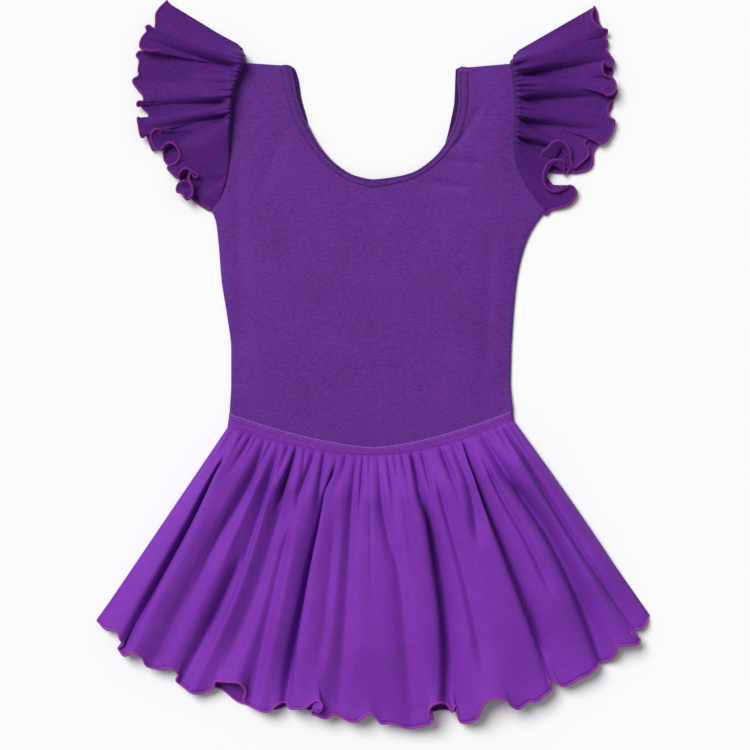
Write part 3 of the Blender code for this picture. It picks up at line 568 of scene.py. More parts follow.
def neckBand(name, node, neck, form, cloth):
    looks = neckBandLooks
    lines = {line: neckLine(neck, line) for line in ("seamLeft", "edgeLeft", "edgeRight", "seamRight")}
    half = np.linspace(0, scoopLevel, looks["stations"] // 2)
    stations = [("Left", level) for level in half] + [("Right", level) for level in half[-2::-1]]
    knots = np.arange(scoopLevel + 1)
    share = np.linspace(-looks["lap"], 1, looks["columns"])
    edgeRound = np.clip((share - 1 + looks["edgeReach"]) / looks["edgeReach"], 0, 1) ** 2
    seamRound = np.clip((looks["seamReach"] - share) / (looks["seamReach"] + looks["lap"]), 0, 1)
    puff = form["flat"] + form["crown"] * (1 - np.abs(2 * np.clip(share, 0, 1) - 1) ** 4)
    for row in ("inner", "outer"):
        puff = puff - form["groove"] * bell(share - looks[row], looks["grooveWidth"])
    puff = puff - form["edgeDrop"] * edgeRound - looks["seamDrop"] * seamRound
    rows, stitchPaths = [], {"inner": [], "outer": []}
    for side, level in stations:
        seam, edge = (np.array([through(knots, lines[line + side][:, axis], level) for axis in range(2)])
                      for line in ("seam", "edge"))
        plan = seam + (edge - seam) * share[:, None]
        corner = np.clip(1 - level / looks["cornerReach"], 0, 1) ** 2 * np.clip(2 * share - 1, 0, 1) ** 2
        plan[:, 1] -= looks["cornerDrop"] * corner
        base = form["loft"] * float(np.interp(level, knots, neckLoft)) + form["step"] + clothWall
        height = np.maximum(base + puff, looks["lowest"])
        rows.append(np.concatenate([plan, height[:, None]], -1))
        for row, path in stitchPaths.items():
            place = seam + (edge - seam) * looks[row]
            path.append((*place, float(np.interp(looks[row], share, height)) + looks["stitchLift"]))
    band = takeOver(thicken(clothGrid(name, np.array(rows), cloth)), node)
    return band, [stitchRow(f"{name}_{row}_stitches", path, neckStitch, neckThread)
                  for row, path in stitchPaths.items()]


print("neck bands")
neckBack, neckBackRows = neckBand("neck_edge_back", "neck_band_back", backNeck, neckBackForm, insideAndShadeKnit)
neckFront, neckFrontRows = neckBand("neck_edge_front", "neck_band_front", frontNeck, neckFrontForm, neckShadeKnit)
tackStitch = {"length": 2.6, "width": 0.6, "height": 0.5, "pitch": 0.7, "slant": 1.4, "zigzag": 0.1,
              "seed": 12, "slot": "bodice_knit"}
tackLine = ((62.0, 210.8, 2.75), (65.0, 210.6, 2.85), (68.2, 210.2, 2.6))
neckFrontRows.append(stitchRow("strap_bar_tack", tackLine, tackStitch, seamThread))

# Skirt bands: flat strips over the skirt seam, with three rows of stitches on the front one
bandLooks = {"across": 150, "rows": 15, "puff": 0.35, "top": 4.1, "endRounding": 4.0, "endLift": 0.28,
             "stitchLines": (0.06, 0.32, 0.84), "stitchLift": 0.08,
             "leftEnds": (-104.4, -105.8), "rightEnds": (100.0, 101.2)}
bandStitch = {"length": 1.7, "width": 0.7, "height": 0.5, "pitch": 1.6, "slant": 0.3, "zigzag": 0.12,
              "seed": 7, "slot": "band_knit"}
edgeStitch = {"length": 1.5, "width": 0.5, "height": 0.45, "pitch": 1.2, "slant": 0.9, "zigzag": 0.3,
              "seed": 9, "slot": "band_knit"}


def bandPlan(neck, down):  # left to right places of the band at a share of its height
    values = bodiceSections(neck)
    section = sectionAt(values, bandTopLevel + down)
    share = np.linspace(-1, 1, bandLooks["across"])
    leftX, rightX = (np.interp(down, (0, 1), bandLooks[ends]) for ends in ("leftEnds", "rightEnds"))
    sideY = np.where(share < 0, section["leftY"], section["rightY"])
    x = np.abs(share) * np.where(share < 0, leftX, rightX)
    middleY = section["seamLeftY"]
    return x, middleY + (sideY - middleY) * np.abs(share) ** section["sag"]


def skirtBand(name, node, neck, isFront):
    looks = bandLooks
    levels = np.linspace(0, 1, looks["rows"])
    rows = []
    for down in levels:
        x, y = bandPlan(neck, down)
        fromEnd = np.minimum(np.abs(x - x[0]), np.abs(x[-1] - x))
        rounding = 1 - (1 - np.clip(fromEnd / looks["endRounding"], 0, 1)) ** 2
        top = looks["top"] + looks["puff"] * (1 - abs(2 * down - 1) ** 4)
        raised = layerStep + looks["endLift"] + (top - layerStep) * rounding
        rows.append(np.stack([x, y, raised if isFront else clothWall + 0 * x], -1))
    points = np.array(rows)
    band = takeOver(thicken(clothGrid(name, points, bandKnit)), node)
    made = []
    for number, at in enumerate(looks["stitchLines"] if isFront else ()):
        path = [[np.interp(at, levels, points[:, k, axis]) for axis in range(3)]
                for k in range(points.shape[1])]
        path = np.array(path) + [0, 0, looks["stitchLift"]]
        stitch, material = (bandStitch, seamThread) if number else (edgeStitch, edgeThread)
        made.append(stitchRow(f"{name}_stitches_{number + 1}", path, stitch, material))
    return band, made


print("skirt bands")
bandBack = skirtBand("waist_band_back", "skirt_band_back", backNeck, False)[0]
bandFront, bandFrontRows = skirtBand("waist_band_front", "skirt_band_front", frontNeck, True)


# Ruffled hem thread: a round roll with slanting wraps, walked along a sheet's edge
rollLooks = {"sleeveRadius": 1.0, "skirtRadius": 0.95, "sides": 8, "ringStep": 0.3, "wrap": 1.2,
             "ridge": 0.14, "tipSize": 0.15, "tipRings": 4}


def hemRoll(name, path, material, thick):
    looks = rollLooks
    path = np.array(path)
    path[:, 2] = np.maximum(path[:, 2], thick * (1 + looks["ridge"]))
    places, along = evenly(path, looks["ringStep"])
    places = np.concatenate([[path[0]], places, [path[-1]]])
    along = np.concatenate([along[:1], along, along[-1:]])
    sideways = np.cross(along[0], (0.0, 0.0, 1.0))
    sides = looks["sides"]
    angle = np.linspace(0, 2 * math.pi, sides, endpoint=False)[:, None]
    rings = []
    for number, (place, ahead) in enumerate(zip(places, along)):
        sideways = sideways - ahead * (sideways @ ahead)
        sideways = sideways / np.linalg.norm(sideways)
        upward = np.cross(sideways, ahead)
        phase = 2 * math.pi * number * looks["ringStep"] / looks["wrap"]
        fromEnd = min(number, len(places) - 1 - number)
        tip = min(1, looks["tipSize"] + fromEnd / looks["tipRings"])
        radius = thick * (1 + looks["ridge"] * np.cos(angle + phase)) * tip
        rings.append(place + (np.cos(angle) * sideways + np.sin(angle) * upward) * radius)
    last = (len(rings) - 1) * sides
    faces = [list(range(sides)), [last + k for k in reversed(range(sides))]]
    for start in range(0, last, sides):
        for k in range(sides):
            one, other = start + k, start + (k + 1) % sides
            faces.append([one, one + sides, other + sides, other])
    piece = meshPiece(name, np.concatenate(rings), faces, material)
    only(piece)
    inEditMode(bpy.ops.mesh.normals_make_consistent, inside=False)
    return takeOver(piece)


# Skirt
skirtLooks = {
    "leftX": -105.0, "rightX": 101.0, "seamGap": 0.3, "centreX": 0.5, "centreY": 69.5, "radius": 322.0,
    "leftCornerX": -198.5, "rightCornerX": 200.0, "rightBow": 2.0,
    "across": 540, "down": 84, "downSpread": 1.1, "backAcross": 300, "backDown": 50, "backSpread": 0.9,
    "puff": 15.5, "puffStarts": 0.18, "puffFalls": 0.72, "hemPuff": 0.56, "sidePuff": 0.05, "sideWrap": 0.015,
    "gatherHeight": 4.2, "gatherReach": 0.13, "gatherRise": 0.018, "gatherDrift": 0.12, "gatherSharp": 1.5,
    "hemZone": 0.76, "hemEase": 1.7, "curlZone": 0.9, "curlEase": 1.3, "curlBlur": 0.011, "bowReach": 8,
    "foldNarrow": 0.55, "foldWidens": 0.5, "foldFades": 0.16, "foldMeeting": 3.0,
    "leanAside": 0.013, "leanWidth": 0.017, "tuck": 4.0, "tuckDepth": 1.5, "underBand": 1.8,
    "streaks": 44, "streakHeight": 0.7, "streakPlaces": (0.1, 0.9), "streakWidths": (0.004, 0.010),
    "streakStarts": (-0.1, 0.35), "streakLengths": (0.3, 0.8), "streakBend": 0.012,
    "streakFadeIn": 0.12, "streakFadeOut": 0.25, "briefEnd": 0.62, "briefClear": 0.86, "overBack": 1.0,
    "backWaves": 12, "backWander": 0.5, "backWanderTurns": 20, "backSide": 0.015, "backSideFade": 0.035,
    "backRollLift": 0.1, "gatherDriftMost": 1.5, "seed": 22,
}
# Folds of the skirt's front, at shares of its width at four stations down its length
foldStations = (0.0, 0.2, 0.5, 1.0)
foldColumns = ("atBand", "atUpper", "atMiddle", "atHem", "starts", "ends", "depth", "left", "right", "lean",
               "sharpLeft", "sharpRight")
folds = (
    (0.024, 0.050, 0.062, 0.064, -0.05, 1.20, 7.0, 0.024, 0.012, 0.0, 1.5, 1.5),
    (0.046, 0.050, 0.059, 0.061, 0.06, 1.20, 12.0, 0.010, 0.008, -4.0, 1.3, 1.4),
    (0.030, 0.044, 0.055, 0.060, -0.10, 0.20, 5.0, 0.012, 0.010, 0.0, 1.4, 1.4),
    (0.134, 0.145, 0.128, 0.120, -0.10, 1.10, 7.5, 0.022, 0.030, 0.0, 1.6, 1.7),
    (0.184, 0.200, 0.205, 0.184, -0.06, 1.20, 10.0, 0.042, 0.013, -2.0, 1.5, 1.5),
    (0.190, 0.190, 0.192, 0.171, 0.42, 1.40, 12.5, 0.016, 0.012, 0.0, 1.5, 1.5),
    (0.244, 0.240, 0.240, 0.240, -0.10, 0.34, 14.0, 0.011, 0.013, 0.0, 1.4, 1.4),
    (0.245, 0.250, 0.250, 0.224, 0.12, 1.20, 10.5, 0.034, 0.030, 0.0, 1.6, 1.7),
    (0.270, 0.282, 0.284, 0.290, 0.26, 1.20, 8.5, 0.026, 0.016, 0.0, 1.6, 1.6),
    (0.385, 0.372, 0.358, 0.356, 0.04, 1.20, 9.0, 0.038, 0.010, 0.0, 1.5, 1.5),
    (0.386, 0.372, 0.355, 0.347, 0.00, 1.50, 16.5, 0.012, 0.010, -7.0, 1.3, 1.5),
    (0.395, 0.402, 0.402, 0.392, 0.20, 0.90, 2.4, 0.014, 0.014, 0.0, 1.7, 1.7),
    (0.452, 0.442, 0.443, 0.436, -0.10, 1.10, 4.5, 0.018, 0.016, 0.0, 1.7, 1.7),
    (0.526, 0.530, 0.562, 0.560, -0.10, 1.10, 4.0, 0.018, 0.018, 0.0, 1.7, 1.7),
    (0.636, 0.640, 0.641, 0.618, -0.10, 1.20, 8.0, 0.012, 0.034, 0.0, 1.5, 1.7),
    (0.637, 0.640, 0.641, 0.620, -0.10, 0.20, 15.0, 0.009, 0.012, 0.0, 1.4, 1.3),
    (0.640, 0.646, 0.643, 0.619, 0.14, 1.40, 15.5, 0.011, 0.024, 4.0, 1.4, 1.3),
    (0.690, 0.700, 0.702, 0.690, 0.06, 0.95, 4.0, 0.014, 0.018, 0.0, 1.5, 1.5),
    (0.778, 0.774, 0.750, 0.740, -0.10, 0.45, 5.5, 0.012, 0.018, 0.0, 1.5, 1.5),
    (0.826, 0.802, 0.802, 0.803, -0.10, 1.20, 8.0, 0.010, 0.034, 0.0, 1.5, 1.7),
    (0.817, 0.798, 0.802, 0.805, -0.10, 0.98, 15.5, 0.010, 0.014, 4.5, 1.4, 1.3),
    (0.856, 0.850, 0.862, 0.862, 0.04, 0.75, 4.5, 0.010, 0.014, 0.0, 1.5, 1.5),
    (0.882, 0.890, 0.914, 0.900, -0.10, 1.20, 9.0, 0.026, 0.024, 0.0, 1.6, 1.6),
    (0.882, 0.890, 0.908, 0.890, 0.15, 1.40, 16.5, 0.012, 0.020, 3.0, 1.4, 1.5),
    (0.952, 0.949, 0.951, 0.966, -0.10, 1.20, 12.0, 0.011, 0.020, 1.0, 1.4, 1.4),
)
# Short troughs between the puckers under the band, at shares of the width at the band and below it.
gatherColumns = ("atBand", "below", "reach", "depth", "width")
gathers = (
    (0.025, 0.026, 0.16, 0.75, 0.009), (0.062, 0.063, 0.06, 0.45, 0.006), (0.090, 0.087, 0.12, 0.55, 0.008),
    (0.106, 0.103, 0.08, 0.45, 0.006), (0.159, 0.154, 0.15, 0.60, 0.008), (0.215, 0.218, 0.09, 0.55, 0.008),
    (0.271, 0.286, 0.07, 0.40, 0.006), (0.309, 0.297, 0.22, 0.60, 0.012), (0.339, 0.343, 0.14, 0.75, 0.009),
    (0.416, 0.405, 0.09, 0.50, 0.007), (0.474, 0.468, 0.18, 0.45, 0.007), (0.494, 0.493, 0.06, 0.35, 0.006),
    (0.555, 0.562, 0.13, 0.40, 0.007), (0.580, 0.580, 0.08, 0.40, 0.006), (0.606, 0.612, 0.08, 0.50, 0.007),
    (0.674, 0.674, 0.17, 0.55, 0.009), (0.738, 0.744, 0.13, 0.80, 0.009), (0.790, 0.792, 0.06, 0.55, 0.006),
    (0.905, 0.903, 0.07, 0.35, 0.006), (0.932, 0.930, 0.10, 0.50, 0.007), (0.976, 0.974, 0.20, 0.70, 0.008),
)
# Front hem from left to right: x, y and lift
hemRows = (
    (-200, -185, 0), (-192, -191.5, 0), (-184.5, -192, 0.8), (-181.5, -198.5, 2.5), (-179.5, -201.5, 3),
    (-183.5, -205, 0.5), (-177, -210, 0.5), (-171.5, -207, 3), (-165.5, -211.5, 1.5),
    (-163.5, -216.5, 0.8), (-155, -219.5, 0.5), (-144.5, -219, 1.5), (-140.5, -224.5, 2),
    (-142, -227.5, 1), (-135.5, -233.5, 0.5), (-129, -237, 0.5), (-121, -236, 1), (-115, -232.5, 3),
    (-114.5, -229, 5), (-105, -228, 6.5), (-96, -229, 5.5), (-92, -235.5, 3), (-93.5, -242, 1),
    (-83.5, -248.5, 0.5), (-76.5, -250, 1), (-72, -247, 2.5), (-67, -243.5, 4), (-62.5, -244, 4),
    (-59, -247, 3.5), (-54, -247.5, 3), (-49.5, -247, 3.5), (-44, -242.5, 5), (-40, -241, 6),
    (-37, -244.5, 6.5), (-39.5, -249, 5.5), (-44, -248, 4), (-44.5, -250.5, 2.5), (-40.5, -252.5, 1.5),
    (-34, -254.5, 0.8), (-29, -251.5, 1.5), (-24, -253.5, 1), (-17.5, -256.5, 0.5), (-13.5, -257, 0.5),
    (-7, -252.5, 2.5), (-3, -250.5, 3), (3, -255.5, 1), (5, -258, 0.5), (11.5, -258, 0.5),
    (18.5, -260, 0.5), (25, -261.5, 0.3), (33, -260.5, 0.5), (39, -258.5, 1.5), (41.5, -254.5, 3),
    (38.5, -252, 4.5), (39, -246, 6), (43, -243, 7), (48, -243, 7), (53.5, -246, 6), (56, -250.5, 4.5),
    (58, -246, 3.5), (58.5, -246, 2.5), (60, -252.5, 1), (62.5, -258, 0.5), (67.5, -258, 0.5),
    (73.5, -255, 1.5), (76, -248.5, 4), (79, -242.5, 6), (86.5, -239, 7), (94.5, -241, 6),
    (99.5, -246, 3.5), (103.5, -247.5, 2), (107.5, -245, 1), (111.5, -242.5, 0.5), (116.5, -242.5, 0.5),
    (121.5, -238.5, 0.5), (127, -233.5, 1.5), (125.5, -228.5, 3.5), (130.5, -228, 2.5),
    (135.5, -232, 0.5), (141, -230, 0.5), (147, -226, 1), (154, -222.5, 0.5), (157.5, -219, 1.5),
    (161, -215.5, 1), (165.5, -215, 0.5), (170, -213, 0.5), (173.5, -207.5, 1.5), (174, -203, 2.5),
    (180, -202.5, 1), (185, -202, 0.5), (189.5, -201, 0.5), (190.5, -198.5, 0.8), (187, -196.5, 2),
    (184.5, -194, 3), (187, -191.5, 1.5), (192, -191, 0.5), (196, -186.5, 0.3), (197.5, -183, 0),
)
# How far the back hem reaches past its arc, at shares of the way across
backHemPlaces = (0.0, 0.03, 0.07, 0.11, 0.15, 0.2, 0.236, 0.275, 0.33, 0.36, 0.4, 0.436, 0.47, 0.5, 0.56,
                 0.609, 0.65, 0.7, 0.73, 0.76, 0.8, 0.84, 0.87, 0.91, 0.94, 0.97, 1.0)
backHemReach = (0.0, -4.0, 3.0, 2.0, -1.0, 4.0, 1.5, 6.5, 5.0, -1.0, 1.0, -3.0, 2.0, -3.0, 3.0,
                0.5, 5.0, -1.5, 2.0, 4.0, -3.0, 4.0, 2.0, 3.0, -2.0, -4.0, -2.0)


def skirtTop(across):
    looks = skirtLooks
    section = dict(zip(bodyColumns, body[bandFootLevel - scoopLevel - 1]))
    x = looks["leftX"] + (looks["rightX"] - looks["leftX"]) * across
    sideX = np.where(x < 0, section["leftX"], section["rightX"])
    sideY = np.where(x < 0, section["leftY"], section["rightY"])
    drop = np.minimum(np.abs(x / sideX), 1) ** section["sag"]
    return x, section["middleY"] + (sideY - section["middleY"]) * drop - looks["seamGap"]


def onArc(looks, radius, angle):
    return looks["centreX"] + radius * np.cos(angle), looks["centreY"] + radius * np.sin(angle)


def hemAngles():
    looks = skirtLooks
    start = -math.pi / 2 - math.asin((looks["centreX"] - looks["leftCornerX"]) / looks["radius"])
    end = -math.pi / 2 + math.asin((looks["rightCornerX"] - looks["centreX"]) / looks["radius"])
    return start, end


def hemBase(across):
    start, end = hemAngles()
    return onArc(skirtLooks, skirtLooks["radius"], start + (end - start) * across)


def foldShapes(across, down):
    # Depth of the folds, and how far the ridges beside them lean over sideways.
    looks = skirtLooks
    depth = np.zeros(np.broadcast(across, down).shape)
    lean = np.zeros_like(depth)
    for row in folds:
        fold = dict(zip(foldColumns, row))
        line = through(foldStations, row[:len(foldStations)], down)
        aside = across - line
        width = np.where(aside < 0, fold["left"], fold["right"])
        width = width * (looks["foldNarrow"] + (1 - looks["foldNarrow"]) * ease(down / looks["foldWidens"]))
        shown = ease((down - fold["starts"]) / looks["foldFades"])
        shown = shown * ease((fold["ends"] - down) / looks["foldFades"])
        sharp = np.where(aside < 0, fold["sharpLeft"], fold["sharpRight"])
        depth += (fold["depth"] * np.exp(-np.abs(aside / width) ** sharp) * shown) ** looks["foldMeeting"]
        crest = math.copysign(looks["leanAside"], -fold["lean"])
        lean += fold["lean"] * bell(aside - crest, looks["leanWidth"]) * shown
    return depth ** (1 / looks["foldMeeting"]), lean


def gatherShapes(across, down):
    # The share of the height that the short troughs under the band take away.
    looks = skirtLooks
    kept = np.ones(np.broadcast(across, down).shape)
    for row in gathers:
        gather = dict(zip(gatherColumns, row))
        drift = np.clip(down / looks["gatherDrift"], 0, looks["gatherDriftMost"])
        line = gather["atBand"] + (gather["below"] - gather["atBand"]) * drift
        shown = np.exp(-(down / gather["reach"]) ** 2)
        trough = np.exp(-np.abs((across - line) / gather["width"]) ** looks["gatherSharp"])
        kept *= 1 - gather["depth"] * trough * shown
    return 1 - kept


def streakShapes(across, down):
    # Long soft ripples that run down from the gathers.
    looks = skirtLooks
    dice = random.Random(looks["seed"])
    height = np.zeros(np.broadcast(across, down).shape)
    for k in range(looks["streaks"]):
        place = (k + dice.uniform(*looks["streakPlaces"])) / looks["streaks"]
        tall = looks["streakHeight"] * dice.uniform(-1.0, 1.0)
        width = dice.uniform(*looks["streakWidths"])
        starts = dice.uniform(*looks["streakStarts"])
        ends = starts + dice.uniform(*looks["streakLengths"])
        bend = dice.uniform(-looks["streakBend"], looks["streakBend"])
        shown = ease((down - starts) / looks["streakFadeIn"]) * ease((ends - down) / looks["streakFadeOut"])
        height += tall * bell(across - place - bend * down ** 2, width) * shown
    return height


def skirtFront():
    looks = skirtLooks
    hem = roundThrough(hemRows, looks["across"])
    start, end = hemAngles()
    shares = (np.arctan2(hem[:, 1] - looks["centreY"], hem[:, 0] - looks["centreX"]) - start) / (end - start)
    shares = np.clip(inOrder(shares, hemEvenness), 0, 1)
    across = shares[None, :]
    down = (np.linspace(0, 1, looks["down"]) ** looks["downSpread"])[:, None]
    topX, topY = skirtTop(across)
    topY = topY + looks["underBand"]
    baseX, baseY = hemBase(across)
    length = np.hypot(baseX - topX, baseY - topY)
    wander = np.stack([hem[:, 0] - baseX[0], hem[:, 1] - baseY[0], hem[:, 2]], -1)
    near = bell(shares[:, None] - shares[None, :], looks["curlBlur"])
    broad = near @ wander / near.sum(axis=1, keepdims=True)
    loose = beyond(down, looks["hemZone"], looks["hemEase"])[..., None]
    curl = beyond(down, looks["curlZone"], looks["curlEase"])[..., None]
    moved = broad * loose + (wander - broad) * curl
    x = topX + (baseX - topX) * down + moved[..., 0]
    x = x + looks["rightBow"] * np.sin(math.pi * down) * across ** looks["bowReach"]
    y = topY + (baseY - topY) * down + moved[..., 1]
    fromSide = np.minimum(across, 1 - across)
    wrap = ease(fromSide / looks["sideWrap"])
    pastBrief = ease((down - looks["briefEnd"]) / (looks["briefClear"] - looks["briefEnd"]))
    inside = 2 * layerStep + (looks["overBack"] - 2 * layerStep) * pastBrief
    swell = ease(down / looks["puffStarts"])
    swell = swell * (1 - (1 - looks["hemPuff"]) * ease(beyond(down, looks["puffFalls"], 1)))
    pucker = looks["gatherHeight"] * ease(down / looks["gatherRise"]) * bell(down, looks["gatherReach"])
    puff = (looks["puff"] * swell + pucker) * ease(fromSide / looks["sidePuff"])
    depth, lean = foldShapes(across, down)
    height = puff * np.clip(1 - depth / looks["puff"], 0, 1) * (1 - gatherShapes(across, down))
    height = height + streakShapes(across, down) * swell * wrap
    underBand = np.clip(1 - down * length / looks["tuck"], 0, 1)
    z = layerStep + clothWall + height + wrap * (inside + moved[..., 2] - looks["tuckDepth"] * underBand)
    x = x + lean * height / looks["puff"]
    points = np.stack([x, y, z], -1)
    piece = takeOver(thicken(clothGrid("skirt_front_cloth", points, skirtKnit)), "skirt_front")
    edge = points[-1] - [0, 0, clothWall / 2]
    return piece, hemRoll("skirt_front_hem_roll", edge, hemThread, rollLooks["skirtRadius"])


def skirtBack():
    looks = skirtLooks
    across = np.linspace(0, 1, looks["backAcross"])[None, :]
    down = (np.linspace(0, 1, looks["backDown"]) ** looks["backSpread"])[:, None]
    topX, topY = skirtTop(across)
    baseX, baseY = hemBase(across)
    reach = through(backHemPlaces, backHemReach, across[0])
    length = np.hypot(baseX - topX, baseY - topY)
    reached = down + reach * beyond(down, looks["hemZone"], looks["hemEase"]) / length
    x = topX + (baseX - topX) * reached
    y = topY + (baseY - topY) * reached
    fromSide = np.minimum(across, 1 - across)
    turn = 2 * math.pi * looks["backWaves"] * across
    wave = (1 + np.cos(turn + looks["backWander"] * np.sin(looks["backWanderTurns"] * across))) / 2
    lift = wave * ease(beyond(down, looks["briefEnd"], 1))
    z = clothWall + floorGap + lift * ease((fromSide - looks["backSide"]) / looks["backSideFade"])
    points = np.stack([x, y, z], -1)
    piece = takeOver(thicken(clothGrid("skirt_back_cloth", points, skirtKnit)), "skirt_back")
    edge = points[-1] + [0, 0, looks["backRollLift"]]
    return piece, hemRoll("skirt_back_hem_roll", edge, hemThread, rollLooks["skirtRadius"])


print("skirt")
backSkirt, backSkirtHem = skirtBack()
frontSkirt, frontSkirtHem = skirtFront()

# Flutter sleeves. The hem's places run from the fold at the shoulder to the underarm, with
# their height over the floor, and the share of the way out at which the hem's wandering starts.
# hemShares and armShares say which places of the hem and the armhole belong together. A crease has its
# shares down the armhole and down the hem, its depth, and its widths above and below. backTurns are dips
# of the back layer's hem, each with its share, width and depth.
sleeveLooks = {
    "front": 430, "back": 130, "out": 54, "turns": 5, "hemEase": 1.5, "foldRoll": 0.12, "underarmRoll": 0.12,
    "puff": 7.0, "puffRise": 0.025, "puffFall": 0.75, "topEdge": 0.04, "topFade": 0.05,
    "underarmCalm": 0.8, "underarmStarts": 0.45, "underarmReach": 0.3,
    "creaseNarrow": 0.4, "creaseWidens": 0.5, "creaseRise": 0.18, "creaseSharp": 1.6,
    "creaseEases": 0.8, "creaseEndLoss": 0.5,
    "gathers": 18, "gatherHeight": 3.6, "gatherWidth": 0.0095, "gatherReach": 0.1, "gatherRise": 0.03,
    "gatherAside": 0.25, "gatherReaches": (0.6, 1.7), "gatherHeights": (0.6, 1.2), "gatherFall": 1.4,
    "tuck": 2.0, "tuckStarts": 0.04, "seamDip": 1.4, "seamDipEase": 1.5, "tuckDepth": 1.1,
    "shoulder": 4.0, "shoulderReach": 0.09, "shoulderWidth": 0.05, "backSeamGap": 0.7, "backInset": 3.0,
    "backWave": 2.0, "backWaves": 7, "backEnds": 0.12, "backWaveEnds": 0.1, "foldBlend": 0.15,
    "backLayerTop": 2.5, "seed": 5,
}
leftSleeve = {
    "outward": -1, "centreX": -53.5, "centreY": 182.0, "startRadius": 120.5, "endRadius": 97.0,
    "startAngle": 141.8, "endAngle": 228.2, "armTop": 227.5, "armEnd": 110.0, "side": "left",
    "hemShares": (0.0, 0.18, 0.457, 0.55, 1.0), "armShares": (0.0, 0.133, 0.349, 0.417, 1.0), "backTurns": (),
    "lift": 1.15, "topRise": 0.4, "gatherEnd": 0.44,
    "creases": ((0.133, 0.19, 8.5, 0.024, 0.070), (0.235, 0.30, 2.5, 0.030, 0.030),
                (0.335, 0.45, 7.5, 0.022, 0.018), (0.417, 0.56, 9.5, 0.024, 0.055),
                (0.80, 0.86, 1.6, 0.05, 0.05)),
    "hem": (
        (-149.5, 260.5, 1.8, 0.7), (-154, 256, 2.5, 0.7), (-156.5, 252, 3.5, 0.6), (-157, 244.5, 3, 0.6),
        (-158, 240, 4, 0.6), (-160, 240.5, 5.5, 0.6), (-161.5, 242.5, 6.5, 0.6), (-163.5, 242, 7, 0.5),
        (-163, 239, 6, 0.45), (-166.5, 234, 6, 0.35), (-168, 229.5, 7, 0.25), (-167.5, 226.5, 8, 0.2),
        (-164, 225, 8.5, 0.2), (-159, 224, 8.5, 0.2), (-154, 225, 7.5, 0.2), (-152, 224, 6, 0.2),
        (-157, 223, 4.5, 0.2), (-164, 224, 3.5, 0.2), (-169.5, 224, 2.8, 0.3), (-171, 222, 2.5, 0.4),
        (-169, 219, 3, 0.6), (-169.5, 210.5, 3.5, 0.6), (-169, 207.5, 3, 0.6), (-173.5, 204, 2.4, 0.6),
        (-169.5, 197, 3.5, 0.6), (-165.5, 191.5, 5, 0.6), (-165.5, 188.5, 5.5, 0.6), (-170, 187.5, 6, 0.6),
        (-170, 185, 5.5, 0.6), (-168, 185.5, 4.5, 0.6), (-166, 183.5, 3.5, 0.6), (-162.5, 180, 2.4, 0.5),
        (-162, 175.5, 2.8, 0.4), (-167, 174, 4.5, 0.4), (-169.5, 176.5, 6, 0.4), (-169, 170.5, 6.5, 0.4),
        (-166.5, 162.5, 6, 0.4), (-164, 165, 4, 0.45), (-161.5, 158.5, 3, 0.5), (-159, 153.5, 2.6, 0.5),
        (-157.5, 158.5, 3.6, 0.5), (-154, 165, 6, 0.5), (-153, 167, 8, 0.5), (-156.5, 168, 9, 0.5),
        (-160, 164.5, 8.5, 0.5), (-159.5, 159, 7.5, 0.6), (-157, 155, 7, 0.6), (-153.5, 153.5, 6, 0.6),
        (-150.5, 157, 6.5, 0.6), (-146, 158.5, 7, 0.6), (-142, 155.5, 7, 0.6), (-139.5, 149.5, 6, 0.6),
        (-142, 144.5, 5, 0.6), (-148.5, 140.5, 4, 0.6), (-145.5, 137, 4.5, 0.6), (-141, 133.5, 5.5, 0.6),
        (-139.5, 137, 7, 0.6), (-135.5, 140, 8, 0.6), (-131, 138, 8, 0.6), (-126.5, 134.5, 7, 0.6),
        (-128.5, 133.5, 6, 0.6), (-132, 137, 6.5, 0.6), (-133, 132, 8, 0.6), (-130.5, 126, 9, 0.6),
        (-130.5, 121, 9, 0.6), (-134, 117.5, 8.5, 0.6), (-138, 122, 7.5, 0.6), (-141.5, 123.5, 6.5, 0.6),
        (-141, 128, 6.5, 0.6), (-136.5, 131, 6.5, 0.6), (-133, 128.5, 4.5, 0.6), (-134, 124, 2.5, 0.6),
        (-131, 119, 2, 0.6), (-125.5, 114.5, 1.6, 0.6), (-118, 110, 1.6, 0.6),
    ),
}
